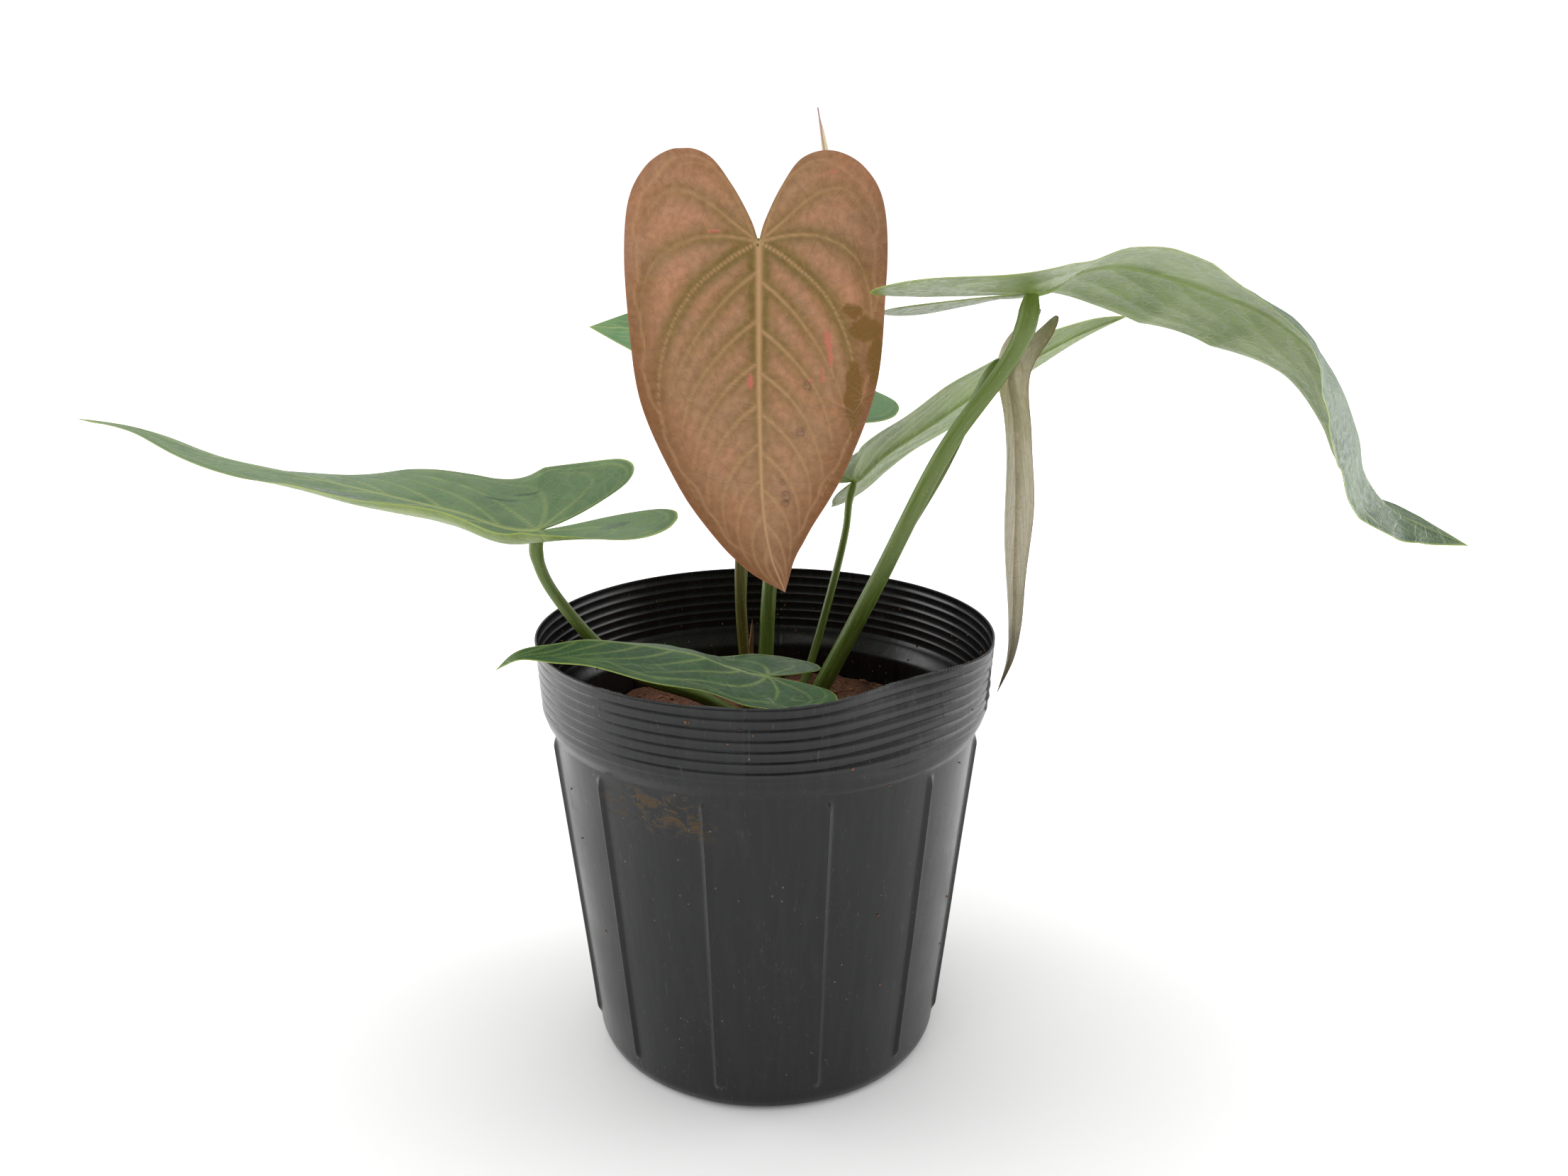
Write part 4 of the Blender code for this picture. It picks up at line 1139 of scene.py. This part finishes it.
def make_litter():
    """Husk crumbs and coir fibres strewn over the mix."""
    husk = coir_finish("coir_crumbs", (0.15, 0.055, 0.028), (0.36, 0.16, 0.085), 1100.0)
    fibre = coir_finish("coir_fibres", (0.20, 0.09, 0.04), (0.42, 0.24, 0.13), 1500.0)
    points, faces = [], []
    for index in range(CRUMB_COUNT):
        radius = 88 * math.sqrt(RANDOM.random())
        turn = RANDOM.uniform(0, 2 * math.pi)
        x, y = radius * math.cos(turn), radius * math.sin(turn)
        size = np.array([RANDOM.uniform(0.6, 2.4) for _ in range(3)]) * (1.2, 1.0, 0.6)
        centre = (x, y, mix_top(x, y) + 0.3 * size[2])
        corner, sides = chip_points(centre, size, RANDOM.uniform(-0.3, 0.3), index)
        start = len(points)
        points += corner
        faces += [tuple(start + number for number in side) for side in sides]
    add_piece("coir_crumbs", points, faces, husk, angle=25)
    points, faces = [], []
    for _ in range(FIBRE_COUNT):
        radius = 86 * math.sqrt(RANDOM.random())
        turn = RANDOM.uniform(0, 2 * math.pi)
        x, y = radius * math.cos(turn), radius * math.sin(turn)
        heading = RANDOM.uniform(0, 2 * math.pi)
        curve = RANDOM.uniform(-0.35, 0.35)
        length = RANDOM.uniform(3, 10)
        rise = RANDOM.uniform(0.0, 0.25)
        start = len(points)
        thick = RANDOM.uniform(0.10, 0.2)
        for step in range(FIBRE_STEPS):
            heading += curve
            x += length / FIBRE_STEPS * math.cos(heading)
            y += length / FIBRE_STEPS * math.sin(heading)
            if math.hypot(x, y) > 90:
                x, y = x * 0.97, y * 0.97
            base = mix_top(x, y) + 0.1 + rise * length * math.sin(math.pi * step / (FIBRE_STEPS - 1))
            side = (-math.sin(heading), math.cos(heading))
            for across, up in ((-1, 0), (1, 0), (0, 1.6)):
                aside = across * thick
                points.append((x + aside * side[0], y + aside * side[1], base + up * thick))
        faces += [tuple(start + number for number in face) for face in grid_faces(FIBRE_STEPS, 3, True)]
        faces += [(start, start + 1, start + 2), (start + 18, start + 19, start + 20)]
    add_piece("coir_fibres", points, faces, fibre, angle=60)


def make_chips():
    """The larger husk chips, each in the place of its plain solid."""
    finish = coir_finish("husk_chip", (0.17, 0.06, 0.03), (0.40, 0.18, 0.09), 800.0)
    for index in range(1, 7):
        node = f"husk_chip_{index}"
        low, high = (np.array(corner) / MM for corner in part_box(node))
        centre, half = (low + high) / 2, (high - low) / 2
        points, faces = ball("icosphere", subdivisions=4)
        block = np.sign(points) * np.abs(points) ** 0.62
        rough = 1 + 0.16 * bumps(block * 3, 0.6, index) + 0.06 * bumps(block * 3, 2.2, index)
        shaped = block * rough[:, None]
        shaped = shaped / np.abs(shaped).max(axis=0) * half
        add_piece(f"husk_piece_{index}", centre + shaped, faces, finish, [node], angle=50)


# ---------------------------------------------------------------- water drops and dirt on the pot
def make_drops(blades):
    finish = water_finish()
    blade = blades["copper"]
    places = [(56, 19, 1.5), (74, 16, 1.6), (94, 8.5, 1.0), (100, 9.5, 1.9), (102.5, 9.0, 1.3),
              (64, 24.0, 0.7)]
    for index, (along, across, radius) in enumerate(places):
        point, facing = blade.place(np.array([[along]]), np.array([[across]]), 1)
        corners, faces = ball("uvsphere", u_segments=24, v_segments=14)
        normal = facing[0, 0]
        down = unit(np.array((0.0, 0.0, -1.0)) - normal * -normal[2])
        aside = np.cross(normal, down)
        sag = 1 + 0.18 * corners[:, 1]
        shaped = corners[:, :1] * sag[:, None] * aside + corners[:, 1:2] * 1.12 * down
        placed = point[0, 0] + normal * 0.35 + radius * (shaped + 0.62 * corners[:, 2:] * normal)
        add_piece(f"water_drop_{index + 1}", placed, faces, finish, angle=80)


def make_crumbs_on_pot():
    """Grains of mix stuck to the pot's inner and outer wall."""
    finish = coir_finish("wall_crumbs", (0.20, 0.07, 0.03), (0.42, 0.18, 0.08), 1200.0)
    points, faces = [], []
    for index in range(WALL_CRUMB_COUNT):
        inside = index % 3 != 0
        azimuth = RANDOM.uniform(0, 2 * math.pi)
        if inside:
            height = RANDOM.uniform(142, 178)
        else:
            height = RANDOM.choice((RANDOM.uniform(120, 185), RANDOM.uniform(20, 150)))
        radius = wall_radius(height) - dent(height, azimuth) + ring_shape(height)
        radius += -0.75 if inside else 0.1
        size = np.array([RANDOM.uniform(0.25, 0.75) for _ in range(3)])
        centre = (radius * math.cos(azimuth), radius * math.sin(azimuth), height)
        corner, sides = chip_points(centre, size, 0.0, 900 + index)
        start = len(points)
        points += corner
        faces += [tuple(start + number for number in side) for side in sides]
    add_piece("wall_crumbs", points, faces, finish, angle=25)


# ---------------------------------------------------------------- stage
def make_stage():
    bm = bmesh.new()
    bmesh.ops.create_grid(bm, x_segments=8, y_segments=8, size=9.0)
    mesh = bpy.data.meshes.new("floor")
    bm.to_mesh(mesh)
    bm.free()
    mesh.materials.append(floor_finish())
    floor = bpy.data.objects.new("floor", mesh)
    floor.location.z = -FLOOR_DROP
    bpy.context.scene.collection.objects.link(floor)

    world = bpy.data.worlds.new("studio")
    bpy.context.scene.world = world
    world.use_nodes = True
    tree = world.node_tree
    background = tree.nodes["Background"]
    background.inputs["Color"].default_value = (1.0, 1.0, 1.0, 1.0)
    path = tree.nodes.new("ShaderNodeLightPath")
    where = tree.nodes.new("ShaderNodeTexCoord")
    split = tree.nodes.new("ShaderNodeSeparateXYZ")
    fall = tree.nodes.new("ShaderNodeMapRange")
    fall.inputs["From Min"].default_value = -0.95
    fall.inputs["From Max"].default_value = 0.1
    fall.inputs["To Min"].default_value = 0.10
    fall.inputs["To Max"].default_value = 0.85
    strength = tree.nodes.new("ShaderNodeMix")
    strength.inputs[3].default_value = 1.08
    tree.links.new(where.outputs["Generated"], split.inputs[0])
    tree.links.new(split.outputs["Y"], fall.inputs["Value"])
    tree.links.new(fall.outputs["Result"], strength.inputs[2])
    tree.links.new(path.outputs["Is Camera Ray"], strength.inputs["Factor"])
    tree.links.new(strength.outputs[0], background.inputs["Strength"])

    lights = [
        ("key", (-0.6, -1.5, 1.9), 1.5, 10.0),
        ("top", (0.0, 0.3, 2.3), 2.4, 20.0),
        ("left", (-1.8, 0.4, 0.5), 1.3, 15.0),
        ("right", (1.8, 0.4, 0.5), 1.3, 15.0),
    ]
    for name, place, size, power in lights:
        light = bpy.data.lights.new(name, "AREA")
        light.shape = "DISK"
        light.size = size
        light.energy = power
        lamp = bpy.data.objects.new(name, light)
        lamp.location = place
        lamp.rotation_euler = (Vector((0, 0, 0.2)) - Vector(place)).to_track_quat("-Z", "Y").to_euler()
        bpy.context.scene.collection.objects.link(lamp)
    bpy.context.scene.view_settings.view_transform = "Standard"

    camera = bpy.data.cameras.new("camera")
    camera.sensor_width = CAMERA_SENSOR
    camera.lens = CAMERA_LENS
    eye = bpy.data.objects.new("camera", camera)
    eye.location = CAMERA_PLACE
    eye.rotation_euler = (math.radians(90 - CAMERA_TILT), 0.0, math.radians(-CAMERA_TURN))
    bpy.context.scene.collection.objects.link(eye)
    bpy.context.scene.camera = eye


make_stage()
plastic = pot_finish()
make_pot(plastic)
make_rim_edge(plastic)
make_fin(plastic)
make_mix()
make_litter()
make_chips()
make_crown()
blades = make_leaves()
make_petioles(blades)
make_cataphyll()
make_inflorescence()
make_drops(blades)
make_crumbs_on_pot()
